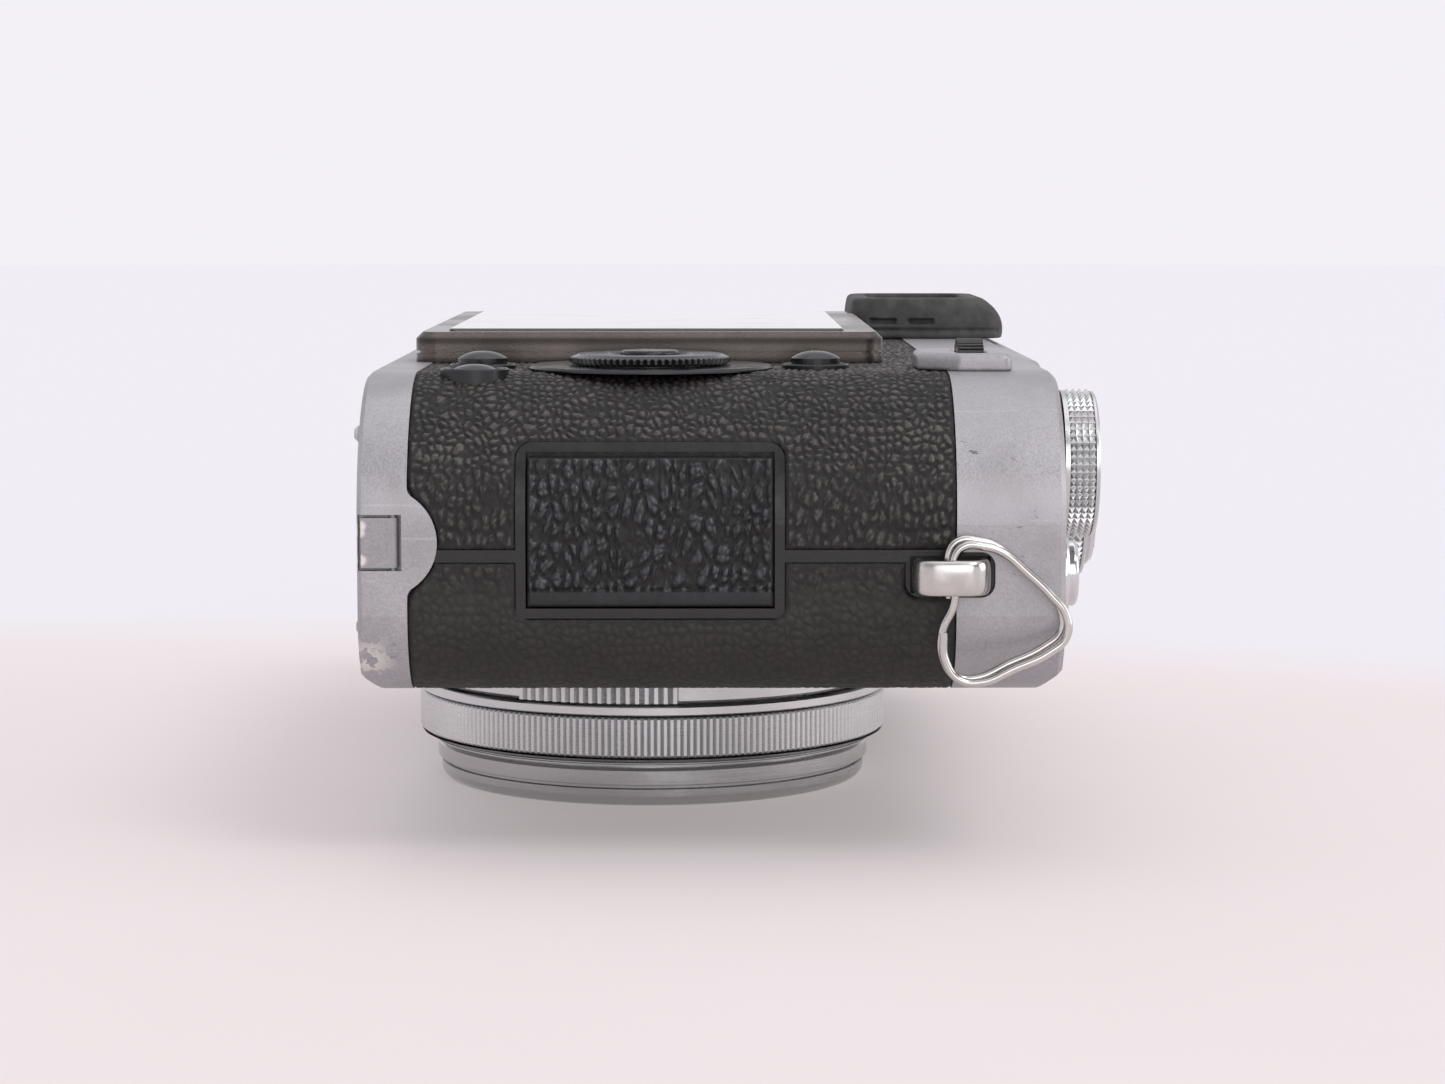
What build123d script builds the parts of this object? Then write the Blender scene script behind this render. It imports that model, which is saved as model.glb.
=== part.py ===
"""A compact digital camera with a fixed wide lens, built as it comes apart on a bench.

The camera rests on the rim of its lens. The origin is the centre of that rim, on the optical axis.
+Z runs along the optical axis to the back of the camera, +X to its top plate and +Y to its viewfinder end.
"""

import math
import os

from build123d import *

os.makedirs("parts", exist_ok=True)

# ---------------------------------------------------------------- driving dimensions, in millimetres

BODY_WIDTH = 126.5  # from the grip end to the viewfinder end
GRIP_END = -58.0
FAR_END = GRIP_END + BODY_WIDTH
FRONT = 16.7  # front face of the body, above the rim of the lens
REAR = 47.5
REAR_CORNER = 14.0
FRONT_CORNER = 8.0
BASE = -27.4  # outer face of the bottom cover
LEATHER_LOW = -22.6
LEATHER_HIGH = 30.1
DECK = 40.6  # low deck of the top cover, under the dials
HIGH_DECK = 43.0  # raised deck, under the accessory shoe
HIGH_DECK_START = -8.5
WALL = 2.0
PLATE = 1.2
SKIN = 0.7  # leatherette over the front shell
SEAM_LOW = 29.9  # the strip between the front and the rear shell
SEAM_HIGH = 31.1
RUN = 0.06  # radial clearance of a turning fit
GAP = 0.15  # clearance round a button or a door

CENTRE_Y = (GRIP_END + FAR_END) / 2

# lens
LENS_RADIUS = 26.2  # focus ring and index ring
TUBE_RADIUS = 19.5  # the part of the lens inside the body
FLUTES = 234

# controls on the top cover, as (Y, Z) of each axis
EXPOSURE_AXIS = (-47.6, 38.6)
EXPOSURE_RADIUS = 7.4
SHUTTER_AXIS = (-22.0, 33.8)
SHUTTER_RADIUS = 9.3
RELEASE_AXIS = (-41.0, 27.1)
RELEASE_RADIUS = 3.4
COLLAR_RADIUS = 5.7
FUNCTION_AXIS = (-31.6, 23.0)
SELECTOR_AXIS = (24.6, -31.0)  # (X, Y), on the front

# controls on the back, as (X, Y) of each axis
WHEEL_AXIS = (0.4, -37.4)
WHEEL_RADIUS = 8.2
BUTTON_RADIUS = 2.5
LOCK_AXIS = (17.2, -36.4)
DISPLAY_AXIS = (-16.6, -36.4)
QUICK_AXIS = (-16.8, -45.6)
LEFT_BUTTONS = {"play_button": 14.0, "meter_button": 4.2, "focus_button": -5.6, "view_button": -15.4}
LEFT_BUTTON_Y = 49.5
RIMMED = [LOCK_AXIS, DISPLAY_AXIS, QUICK_AXIS] + [(x, LEFT_BUTTON_Y) for x in LEFT_BUTTONS.values()]

# screen
SCREEN_X = (-24.5, 24.7)
SCREEN_Y = (-25.0, 42.0)
SCREEN_TOP = 50.9
GLASS_X = (-21.2, 20.7)
GLASS_Y = (-21.2, 38.6)

# viewfinder
EYE_X = (23.6, 41.3)
EYE_Y = (34.5, 59.5)
EYE_TOP = 53.3
EYE_HOLE_X = (27.2, 36.4)
EYE_HOLE_Y = (40.0, 54.0)
WINDOW_X = (30.9, 37.7)
WINDOW_Y = (39.0, 56.0)

# strap loops and rings
LUG_X, LUG_Z = 29.5, 28.7
LUG_WIDTH, LUG_HEIGHT = 7.6, 3.5
WIRE = 0.45  # radius of the ring's wire
RING_OUT = 1.75  # the ring's plane, out from the end of the body

# connector door on the grip end
PORT_X = (-12.2, 13.6)
PORT_Z = (24.5, 41.3)
DOOR_X = (-11.1, 12.5)
DOOR_Z = (25.6, 39.9)
DOOR_AXIS = (-56.0, 39.1)  # (Y, Z) of its pin
SOCKETS = {"data_socket": (-8.4, 0.2), "remote_socket": (3.2, 9.8)}
SOCKET_Z = (31.9, 35.3)

# battery door in the bottom cover
HATCH_Y = (-50.4, -20.6)
HATCH_Z = (20.6, 43.6)
HATCH_AXIS = (-26.7, -21.3)  # (X, Y) of its pin
TRIPOD_AXIS = (2.0, 30.5)  # (Y, Z)
TRIPOD_RADIUS = 2.6  # wall of a quarter-inch camera thread, at its minor diameter


# ---------------------------------------------------------------- helpers


def keep(part, name):
    part.label = name
    export_step(part, f"parts/{name}.step")


def middle(span):
    return (span[0] + span[1]) / 2


def cuboid(x, y, z, mode=Mode.ADD):
    """A box between pairs of coordinates."""
    with Locations((middle(x), middle(y), middle(z))):
        return Box(x[1] - x[0], y[1] - y[0], z[1] - z[0], mode=mode)


def along_x(radius, x, axis, mode=Mode.ADD):
    """A cylinder along X, about an axis given as (Y, Z)."""
    with Locations(Location((middle(x), *axis), (0, 90, 0))):
        return Cylinder(radius, x[1] - x[0], mode=mode)


def along_z(radius, z, axis=(0, 0), mode=Mode.ADD):
    """A cylinder along Z, about an axis given as (X, Y)."""
    with Locations((*axis, middle(z))):
        return Cylinder(radius, z[1] - z[0], mode=mode)


def ring_z(inner, outer, z, axis=(0, 0)):
    along_z(outer, z, axis)
    along_z(inner, z, axis, Mode.SUBTRACT)


def outline(inset):
    """The body as seen from its top plate, in Y and Z, with its wall taken in by inset."""
    with BuildSketch() as shape:
        with Locations((CENTRE_Y, (FRONT + REAR) / 2)):
            Rectangle(BODY_WIDTH, REAR - FRONT)
        fillet(shape.vertices().group_by(Axis.Y)[-1], REAR_CORNER)
        fillet(shape.vertices().group_by(Axis.Y)[0], FRONT_CORNER)
        if inset:
            offset(amount=-inset)
    return shape.sketch


def teeth(radius, depth, count, land):
    """A circle with count straight teeth. land is the share of each pitch that a tooth's top takes."""
    points = []
    for i in range(count):
        for share, r in ((-land / 2, radius), (land / 2, radius), (0.5, radius - depth)):
            angle = 2 * math.pi * (i + share) / count
            points.append((r * math.cos(angle), r * math.sin(angle)))
    with BuildSketch() as shape:
        with BuildLine():
            Polyline(*points, close=True)
        make_face()
    return shape.sketch


def studded_drum(radius, depth, count, rows, low, high):
    """A drum along Z from low to high whose side is rows of small pyramids, under a plain rim."""
    star = teeth(radius, depth, count, 0.04)
    band = (low + 0.45, high - 0.4)
    pitch = (band[1] - band[0]) / rows
    with BuildPart() as drum:
        with BuildSketch(Plane.XY.offset(band[0])):
            add(star)
        extrude(amount=band[1] - band[0])
        side = [(0, band[0])]
        for i in range(rows):
            side += [(radius - depth, band[0] + i * pitch), (radius, band[0] + (i + 0.5) * pitch)]
        side += [(radius - depth, band[1]), (0, band[1])]
        with BuildSketch(Plane.XZ):
            with BuildLine():
                Polyline(*side, close=True)
            make_face()
        revolve(axis=Axis.Z, mode=Mode.INTERSECT)
        along_z(radius - 0.15, (low, band[0]))
        along_z(radius - 0.25, (band[1], high))
        chamfer(drum.faces().sort_by(Axis.Z)[-1].edges(), 0.18)
    return drum.part


OUTER = outline(0)
UNDER_SKIN = outline(SKIN)
TRIM_FACE = outline(0.12)
CAVITY = outline(WALL)

UP_X = Plane.YZ  # local x is Y, local y is Z, pulled along +X


# ---------------------------------------------------------------- shared cutters


LOBE_RADIUS = 5.2
LOBE_CENTRE = (-24.9, 31.8)  # (X, Z)


def lobe_sketch(grow):
    """The round lobe of the bottom cover on the grip end, in X and Z."""
    with BuildSketch() as shape:
        with Locations(LOBE_CENTRE):
            Circle(LOBE_RADIUS + grow)
        with Locations((LEATHER_LOW - 3.4, LOBE_CENTRE[1])):
            Rectangle(6.8 + 2 * grow, 14.0, mode=Mode.ADD)
        fillet(
            shape.vertices().filter_by(lambda v: abs(v.X - LEATHER_LOW - grow) < 0.01).sort_by(Axis.Y)[1:3],
            1.2,
        )
    return shape.sketch


LOBE = lobe_sketch(0)
with BuildPart() as lobe_tool:
    with BuildSketch(Plane.XZ.offset(-GRIP_END + 1)):
        add(LOBE)
    extrude(amount=-(WALL + 2.5))

with BuildPart() as port_tool:
    with BuildSketch(Plane.XZ.offset(-GRIP_END + 1)) as port_face:
        with Locations((middle(PORT_X), middle(PORT_Z))):
            Rectangle(PORT_X[1] - PORT_X[0], PORT_Z[1] - PORT_Z[0])
        fillet(port_face.vertices().group_by(Axis.Y)[-1], 1.6)
    extrude(amount=-8)

with BuildPart() as lug_tool:
    for end, side in ((GRIP_END, -1), (FAR_END, 1)):
        cuboid(
            (LUG_X - LUG_WIDTH / 2 - 0.5, LUG_X + LUG_WIDTH / 2 + 0.5),
            sorted((end + side * 0.5, end - side * 3.6)),
            (LUG_Z - LUG_HEIGHT / 2 - 0.45, LUG_Z + LUG_HEIGHT / 2 + 0.45),
        )
    fillet(lug_tool.edges().filter_by(Axis.Y), 1.4)


# ---------------------------------------------------------------- shells and covers

with BuildPart() as front_shell:
    with BuildSketch(UP_X.offset(LEATHER_LOW)):
        add(UNDER_SKIN)
        add(CAVITY, mode=Mode.SUBTRACT)
    extrude(amount=LEATHER_HIGH - LEATHER_LOW)
    split(bisect_by=Plane.XY.offset(SEAM_LOW), keep=Keep.BOTTOM)
    along_z(TUBE_RADIUS, (FRONT, FRONT + WALL), mode=Mode.SUBTRACT)
    along_z(1.5 + RUN, (FRONT, FRONT + WALL), SELECTOR_AXIS, Mode.SUBTRACT)
    add(lobe_tool.part, mode=Mode.SUBTRACT)
    add(port_tool.part, mode=Mode.SUBTRACT)
    add(lug_tool.part, mode=Mode.SUBTRACT)
keep(front_shell.part, "front_shell")

EYE_CUT_X = (25.2, 38.4)
EYE_CUT_Y = (EYE_Y[0] + 2.5, EYE_Y[1] - 2.5)


def cut_back():
    """The openings in the back for the screen, the finder, the wheel and the buttons."""
    through = (REAR - WALL - 1, REAR + 1)
    cuboid((-21.5, 21.7), (-22, 39), through, Mode.SUBTRACT)
    cuboid((EYE_CUT_X[0], LEATHER_HIGH + 1), EYE_CUT_Y, through, Mode.SUBTRACT)
    along_z(WHEEL_RADIUS - 1.2, through, WHEEL_AXIS, Mode.SUBTRACT)
    for axis in RIMMED:
        along_z(BUTTON_RADIUS + 0.9, (REAR - 4, REAR + 1), axis, Mode.SUBTRACT)


with BuildPart() as rear_shell:
    with BuildSketch(UP_X.offset(LEATHER_LOW)):
        add(UNDER_SKIN)
        add(CAVITY, mode=Mode.SUBTRACT)
    extrude(amount=LEATHER_HIGH - LEATHER_LOW)
    split(bisect_by=Plane.XY.offset(SEAM_HIGH), keep=Keep.TOP)
    add(lobe_tool.part, mode=Mode.SUBTRACT)
    add(port_tool.part, mode=Mode.SUBTRACT)
    add(lug_tool.part, mode=Mode.SUBTRACT)
    cut_back()
keep(rear_shell.part, "rear_shell")

GRIP_RIDGE = (-50.5, -36.5)
with BuildPart() as leather:  # one skin on the front shell and one on the rear shell
    with BuildSketch(UP_X.offset(LEATHER_LOW)):
        add(OUTER)
        add(UNDER_SKIN, mode=Mode.SUBTRACT)
    extrude(amount=LEATHER_HIGH - LEATHER_LOW)
    cuboid((-40, 40), (GRIP_END - 1, FAR_END + 1), (SEAM_LOW, SEAM_HIGH), Mode.SUBTRACT)
    with BuildSketch(UP_X.offset(LEATHER_LOW)):  # a low ridge for the fingertips
        with BuildLine():
            start, end = (GRIP_RIDGE[0], FRONT), (GRIP_RIDGE[1], FRONT)
            ThreePointArc(start, (middle(GRIP_RIDGE), FRONT - 0.7), end)
            Line(end, start)
        make_face()
    extrude(amount=LEATHER_HIGH - LEATHER_LOW)
    along_z(LENS_RADIUS + 0.3, (FRONT - 2, FRONT + SKIN), mode=Mode.SUBTRACT)
    along_z(1.5 + RUN, (FRONT - 2, FRONT + WALL), SELECTOR_AXIS, Mode.SUBTRACT)
    add(lobe_tool.part, mode=Mode.SUBTRACT)
    add(port_tool.part, mode=Mode.SUBTRACT)
    add(lug_tool.part, mode=Mode.SUBTRACT)
    cut_back()
keep(leather.part, "leather")

with BuildPart() as seam_trim:
    with BuildSketch(UP_X.offset(LEATHER_LOW)):
        add(TRIM_FACE)
        add(CAVITY, mode=Mode.SUBTRACT)
    extrude(amount=LEATHER_HIGH - LEATHER_LOW)
    split(bisect_by=Plane.XY.offset(SEAM_LOW), keep=Keep.TOP)
    split(bisect_by=Plane.XY.offset(SEAM_HIGH), keep=Keep.BOTTOM)
    with BuildPart(mode=Mode.PRIVATE) as frame:  # round the connector door
        with BuildSketch(UP_X.offset(PORT_X[0])):
            add(TRIM_FACE)
        extrude(amount=PORT_X[1] - PORT_X[0])
        add(port_tool.part, mode=Mode.INTERSECT)
        cuboid((-40, 40), (GRIP_END + 4.6, 0), (0, 60), Mode.SUBTRACT)
    add(frame.part)
    opening_x = (DOOR_X[0] - GAP, DOOR_X[1] + GAP)
    opening_z = (DOOR_Z[0] - GAP, DOOR_Z[1] + 0.5)
    cuboid(opening_x, (GRIP_END - 1, GRIP_END + 3.4), opening_z, Mode.SUBTRACT)
    for x in SOCKETS.values():
        cuboid(x, (GRIP_END, GRIP_END + 6), SOCKET_Z, Mode.SUBTRACT)
    along_x(0.35 + RUN, (DOOR_X[0] - 0.9, DOOR_X[1] + 0.9), DOOR_AXIS, Mode.SUBTRACT)
    add(lobe_tool.part, mode=Mode.SUBTRACT)
    add(lug_tool.part, mode=Mode.SUBTRACT)
keep(seam_trim.part, "seam_trim")


# ---------------------------------------------------------------- bottom cover and what is on it

FEET = [(-52.7, 23.1), (-52.7, 41.9), (63.0, 23.1), (63.0, 41.9)]
SCREWS = [(-12.0, 21.5), (-12.0, 43.0), (48.0, 22.0), (48.0, 43.0)]
FLAP_X = (-27.0, -23.4)
FLAP_Z = (29.4, 34.2)
FLAP_AXIS = (-23.95, GRIP_END + 0.6)  # (X, Y) of its pin
FLAP_SLOT = 0.3  # clearance round it

with BuildPart() as bottom_cover:
    with BuildSketch(UP_X.offset(BASE)):
        add(OUTER)
    extrude(amount=LEATHER_LOW - BASE)
    chamfer(bottom_cover.faces().sort_by(Axis.X)[0].edges(), 0.45)
    with BuildSketch(UP_X.offset(BASE + PLATE)):
        add(CAVITY)
    extrude(amount=10, mode=Mode.SUBTRACT)
    with BuildSketch(Plane.XZ.offset(-FAR_END - 1)):  # the bevel under the front edge
        with BuildLine():
            Polyline((BASE - 1, FRONT - 1), (BASE + 3, FRONT - 1), (BASE - 1, FRONT + 3), close=True)
        make_face()
    extrude(amount=BODY_WIDTH + 2, mode=Mode.SUBTRACT)
    with BuildPart(mode=Mode.PRIVATE) as lobe:
        with BuildSketch(UP_X.offset(BASE + 1)):
            add(OUTER)
            add(CAVITY, mode=Mode.SUBTRACT)
        extrude(amount=12)
        add(lobe_tool.part, mode=Mode.INTERSECT)
    add(lobe.part)
    cuboid((FLAP_X[0] - FLAP_SLOT, FLAP_X[1] + FLAP_SLOT), (GRIP_END - 1, GRIP_END + 1.3),
           (FLAP_Z[0] - FLAP_SLOT, FLAP_Z[1] + FLAP_SLOT), Mode.SUBTRACT)
    cuboid((-26.0, -24.6), (GRIP_END, GRIP_END + 4), (30.6, 33.0), Mode.SUBTRACT)
    with Locations(Location((FLAP_AXIS[0], FLAP_AXIS[1], middle(FLAP_Z)))):
        Cylinder(0.3 + RUN, FLAP_Z[1] - FLAP_Z[0] + 1.4, mode=Mode.SUBTRACT)
    cuboid((BASE - 1, BASE + 3), (HATCH_Y[0] - GAP, HATCH_Y[1] + GAP),
           (HATCH_Z[0] - GAP, HATCH_Z[1] + GAP), Mode.SUBTRACT)
    ears = ((HATCH_Z[0] - 1.6, HATCH_Z[0] - GAP), (HATCH_Z[1] + GAP, HATCH_Z[1] + 1.6))
    for z in ears:  # for the pin of the battery hatch
        cuboid((BASE + PLATE, BASE + 2.6), (HATCH_AXIS[1] - 1.6, HATCH_AXIS[1] + 2.0), z)
    with Locations((*HATCH_AXIS, middle(HATCH_Z))):
        Cylinder(0.35 + RUN, HATCH_Z[1] - HATCH_Z[0] + 1.4, mode=Mode.SUBTRACT)
    along_x(4.6, (BASE - 1, BASE + 3), TRIPOD_AXIS, Mode.SUBTRACT)
    along_z(26.1, (FRONT - 1, FRONT + SKIN), mode=Mode.SUBTRACT)
    for axis in FEET:
        along_x(0.8, (BASE - 1, BASE + 0.7), axis, Mode.SUBTRACT)
    for axis in SCREWS:
        along_x(1.4, (BASE - 1, BASE + 0.75), axis, Mode.SUBTRACT)
        along_x(0.7, (BASE - 1, BASE + 3), axis, Mode.SUBTRACT)
keep(bottom_cover.part, "bottom_cover")

with BuildPart() as base_feet:
    for axis in FEET:
        along_x(0.8, (BASE - 0.25, BASE + 0.7), axis)
        with Locations(Location((BASE - 0.25, *axis), (0, -90, 0))):
            Cone(0.8, 0.45, 0.35, align=(Align.CENTER, Align.CENTER, Align.MIN))
keep(base_feet.part, "base_feet")

with BuildPart() as base_screws:
    for axis in SCREWS:
        along_x(1.4, (BASE + 0.1, BASE + 0.75), axis)
        along_x(0.7, (BASE + 0.75, BASE + 4.2), axis)
        y, z = axis
        for half_y, half_z in ((0.9, 0.17), (0.17, 0.9)):
            cuboid((BASE, BASE + 0.5), (y - half_y, y + half_y), (z - half_z, z + half_z), Mode.SUBTRACT)
keep(base_screws.part, "base_screws")

with BuildPart() as tripod_socket:
    along_x(4.6, (BASE + 0.1, -20.2), TRIPOD_AXIS)
    along_x(6.0, (BASE + PLATE, BASE + PLATE + 1.4), TRIPOD_AXIS)
    along_x(TRIPOD_RADIUS, (BASE, -21.2), TRIPOD_AXIS, Mode.SUBTRACT)
keep(tripod_socket.part, "tripod_socket")

with BuildPart() as cable_flap:
    pin = (*FLAP_AXIS, middle(FLAP_Z))
    cuboid((FLAP_X[0], FLAP_AXIS[0]), (GRIP_END + 0.06, GRIP_END + 1.1), FLAP_Z)
    with Locations(pin):
        Cylinder(0.54, FLAP_Z[1] - FLAP_Z[0])
        Cylinder(0.3, FLAP_Z[1] - FLAP_Z[0] + 1.2)
    chamfer(cable_flap.edges().filter_by(Axis.Z).sort_by(Axis.X)[0:1], 0.25)
keep(cable_flap.part, "cable_flap")

with BuildPart() as battery_hatch:
    cuboid((BASE + 0.02, BASE + 1.35), (HATCH_Y[0], HATCH_AXIS[1]), HATCH_Z)
    with Locations((*HATCH_AXIS, middle(HATCH_Z))):
        Cylinder(0.68, HATCH_Z[1] - HATCH_Z[0])
        Cylinder(0.35, HATCH_Z[1] - HATCH_Z[0] + 1.2)
    cuboid((BASE - 1, BASE + 0.62), (-46.0, -41.2), (28.0, 36.2), Mode.SUBTRACT)  # bed of the latch
    cuboid((BASE, BASE + 2), (-44.2, -42.0), (31.0, 33.2), Mode.SUBTRACT)
keep(battery_hatch.part, "battery_hatch")

with BuildPart() as hatch_latch:
    cuboid((BASE + 0.05, BASE + 0.55), (-45.9, -43.0), (28.1, 36.1))
    cuboid((BASE + 0.5, BASE + 2.0), (-44.1, -43.2), (31.1, 33.1))
    for i in range(5):
        y = -45.4 + 0.5 * i
        cuboid((BASE, BASE + 0.25), (y - 0.1, y + 0.1), (28.6, 35.6), Mode.SUBTRACT)
keep(hatch_latch.part, "hatch_latch")



# ---------------------------------------------------------------- connector door, strap loops and rings

with BuildPart() as port_door:
    with BuildSketch(UP_X.offset(DOOR_X[0])):
        add(outline(0.05))
        add(outline(1.4), mode=Mode.SUBTRACT)
    extrude(amount=DOOR_X[1] - DOOR_X[0])
    cuboid((-40, 40), (GRIP_END - 1, GRIP_END + 6), (DOOR_Z[0], DOOR_AXIS[1]), Mode.INTERSECT)
    along_x(0.8, DOOR_X, DOOR_AXIS)
    along_x(0.35, (DOOR_X[0] - 0.7, DOOR_X[1] + 0.7), DOOR_AXIS)
    cuboid(DOOR_X, (GRIP_END - 0.5, GRIP_END + 0.45), (DOOR_Z[0] + 1.5, DOOR_Z[0] + 1.75), Mode.SUBTRACT)
    chamfer(port_door.edges().filter_by(Axis.X).group_by(Axis.Z)[0].sort_by(Axis.Y)[0:1], 0.35)
keep(port_door.part, "port_door")

with BuildPart() as sockets:
    for x in SOCKETS.values():
        cuboid(x, (GRIP_END + 3.5, GRIP_END + 7.6), SOCKET_Z)
        cuboid((x[0] + 0.4, x[1] - 0.4), (GRIP_END + 3, GRIP_END + 7.0),
               (SOCKET_Z[0] + 0.4, SOCKET_Z[1] - 0.4), Mode.SUBTRACT)
        cuboid((x[0] + 1.2, x[1] - 1.2), (GRIP_END + 4.4, GRIP_END + 7.2), (33.3, 33.9))
keep(sockets.part, "sockets")

with BuildPart() as lug_liners:  # the dark cups behind the strap loops
    for end, side in ((GRIP_END, -1), (FAR_END, 1)):
        cuboid((LUG_X - LUG_WIDTH / 2 - 0.5, LUG_X + LUG_WIDTH / 2 + 0.5),
               sorted((end - side * 0.35, end - side * 3.6)),
               (LUG_Z - LUG_HEIGHT / 2 - 0.45, LUG_Z + LUG_HEIGHT / 2 + 0.45))
    fillet(lug_liners.edges().filter_by(Axis.Y), 1.4)
    for end, side in ((GRIP_END, -1), (FAR_END, 1)):
        cuboid((LUG_X - 3.85, LUG_X + 3.85), sorted((end + side, end - side * 1.75)),
               (LUG_Z - 1.8, LUG_Z + 1.8), Mode.SUBTRACT)
        cuboid((LUG_X - 2.9, LUG_X + 2.9), sorted((end, end - side * 2.6)),
               (LUG_Z - 1.15, LUG_Z + 1.15), Mode.SUBTRACT)
keep(lug_liners.part, "lug_liners")

with BuildPart() as strap_lugs:
    for end, side in ((GRIP_END, -1), (FAR_END, 1)):
        with BuildSketch(Plane.XY.offset(LUG_Z - LUG_HEIGHT / 2)) as loop:
            with Locations((LUG_X, end + side * 0.9)):
                RectangleRounded(LUG_WIDTH, 5.2, 2.3)
            with Locations((LUG_X, end + side * 1.35)):
                RectangleRounded(4.4, 1.9, 0.9, mode=Mode.SUBTRACT)
        extrude(amount=LUG_HEIGHT)
    fillet(strap_lugs.faces().filter_by(Axis.Z).edges(), 0.4)
    for end, side in ((GRIP_END, -1), (FAR_END, 1)):
        cuboid((LUG_X - 2.9, LUG_X + 2.9), sorted((end - side * 1.2, end - side * 2.6)),
               (LUG_Z - 1.15, LUG_Z + 1.15))
keep(strap_lugs.part, "strap_lugs")

RING = [(28.4, 23.6), (28.7, 20.9), (31.4, 18.9), (34.0, 19.7), (38.9, 22.1), (40.1, 24.6), (38.9, 27.2),
        (34.4, 31.1), (32.2, 31.9), (30.1, 31.7), (29.5, 30.9), (29.5, 26.4)]
for name, end, side in (("strap_ring_grip", GRIP_END, -1), ("strap_ring_far", FAR_END, 1)):
    with BuildPart() as wire_ring:
        y = end + side * RING_OUT
        for i in range(len(RING)):
            start = Vector(RING[i - 1][0], y, RING[i - 1][1])
            end_at = Vector(RING[i][0], y, RING[i][1])
            run = end_at - start
            with BuildSketch(Plane(origin=start, z_dir=run)):
                Circle(WIRE)
            extrude(amount=run.length)
            with Locations(start):
                Sphere(WIRE)
    keep(wire_ring.part, name)


# ---------------------------------------------------------------- top cover

SHOE_Y = (-7.4, 13.6)
SHOE_Z = (24.0, 42.4)
FLASH_Y = (-10.5, 6.5)
FLASH_X = (32.4, 38.2)
LAMP_AXIS = (35.4, -19.0)  # (X, Y)
HUMP_Y = (-44.0, -29.5)
LEVER_AXIS = (middle(HUMP_Y), REAR - 1.2)  # (Y, Z)
DIOPTER_AXIS = (35.4, 62.6)  # (X, Y)
CABLE_RELEASE_RADIUS = 1.45

with BuildPart() as top_cover:
    with BuildSketch(UP_X.offset(LEATHER_HIGH)):
        add(OUTER)
    extrude(amount=DECK - LEATHER_HIGH)
    chamfer(top_cover.faces().sort_by(Axis.X)[-1].edges(), 0.5)
    with BuildSketch(UP_X.offset(DECK - 2)) as deck:
        with Locations(((HIGH_DECK_START + FAR_END - 0.8) / 2, (FRONT + REAR) / 2)):
            Rectangle(FAR_END - 0.8 - HIGH_DECK_START, REAR - FRONT - 1.4)
        fillet(deck.vertices().group_by(Axis.X)[0], 2.0)
        fillet(deck.vertices().group_by(Axis.X)[-1].sort_by(Axis.Y)[0], FRONT_CORNER - 0.8)
        fillet(deck.vertices().group_by(Axis.X)[-1].sort_by(Axis.Y)[-1], REAR_CORNER - 0.8)
    extrude(amount=HIGH_DECK - DECK + 2)
    fillet(top_cover.faces().sort_by(Axis.X)[-1].edges(), 0.9)
    with BuildSketch(Plane.XZ.offset(-FAR_END - 1)):  # the bevel along the front edge
        with BuildLine():
            Polyline((DECK + 4, FRONT - 1), (DECK - 3.4, FRONT - 1), (DECK + 4, FRONT + 6.4), close=True)
        make_face()
    extrude(amount=BODY_WIDTH + 2, mode=Mode.SUBTRACT)
    with BuildSketch(UP_X.offset(LEATHER_HIGH - 1)):
        add(CAVITY)
    extrude(amount=DECK - PLATE - LEATHER_HIGH + 1, mode=Mode.SUBTRACT)
    cuboid((DECK - 3, HIGH_DECK - PLATE), (HIGH_DECK_START + 2, FAR_END - 12), (FRONT + 4.5, REAR - 3.2),
           Mode.SUBTRACT)
    cuboid((HIGH_DECK - 3, HIGH_DECK + 1), SHOE_Y, SHOE_Z, Mode.SUBTRACT)
    front = (FRONT - 1, FRONT + WALL + 1)
    rear = (REAR - WALL - 1, REAR + 1)
    cuboid(FLASH_X, FLASH_Y, front, Mode.SUBTRACT)
    cuboid(WINDOW_X, WINDOW_Y, front, Mode.SUBTRACT)
    along_z(2.2, front, LAMP_AXIS, Mode.SUBTRACT)
    for y in (-14.4, 12.6):
        for x in (33.4, 34.6, 35.8):
            along_z(0.3, front, (x, y), Mode.SUBTRACT)  # microphones
    cuboid((LEATHER_HIGH - 1, EYE_CUT_X[1]), EYE_CUT_Y, rear, Mode.SUBTRACT)
    cuboid((31.3, 34.2), (HUMP_Y[0] + 2.4, HUMP_Y[1] - 2.4), rear, Mode.SUBTRACT)
    along_x(0.4 + RUN, (30.6, 34.9), LEVER_AXIS, Mode.SUBTRACT)
    along_z(2.7 + GAP, (FRONT + 20, REAR + 1), DIOPTER_AXIS, Mode.SUBTRACT)
    stems = ((EXPOSURE_AXIS, 2.0), (SHUTTER_AXIS, 2.5), (RELEASE_AXIS, 4.2), (FUNCTION_AXIS, 2.1 + GAP))
    for axis, radius in stems:
        along_x(radius + RUN, (DECK - 3, DECK + 1), axis, Mode.SUBTRACT)
    along_x(0.45, (DECK - 0.2, DECK + 1), (-33.4, 26.5), Mode.SUBTRACT)  # index mark of the shutter dial
    add(lug_tool.part, mode=Mode.SUBTRACT)
keep(top_cover.part, "top_cover")

with BuildPart() as exposure_drum:
    add(studded_drum(EXPOSURE_RADIUS, 0.45, 60, 4, 0.2, 3.6))
with BuildPart() as exposure_dial:
    add(exposure_drum.part.moved(Location((DECK, *EXPOSURE_AXIS), (0, 90, 0))))
    along_x(2.0, (DECK - 2.2, DECK + 0.4), EXPOSURE_AXIS)
    along_x(0.8, (DECK + 3.35, DECK + 4), EXPOSURE_AXIS, Mode.SUBTRACT)
keep(exposure_dial.part, "exposure_dial")

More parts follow.
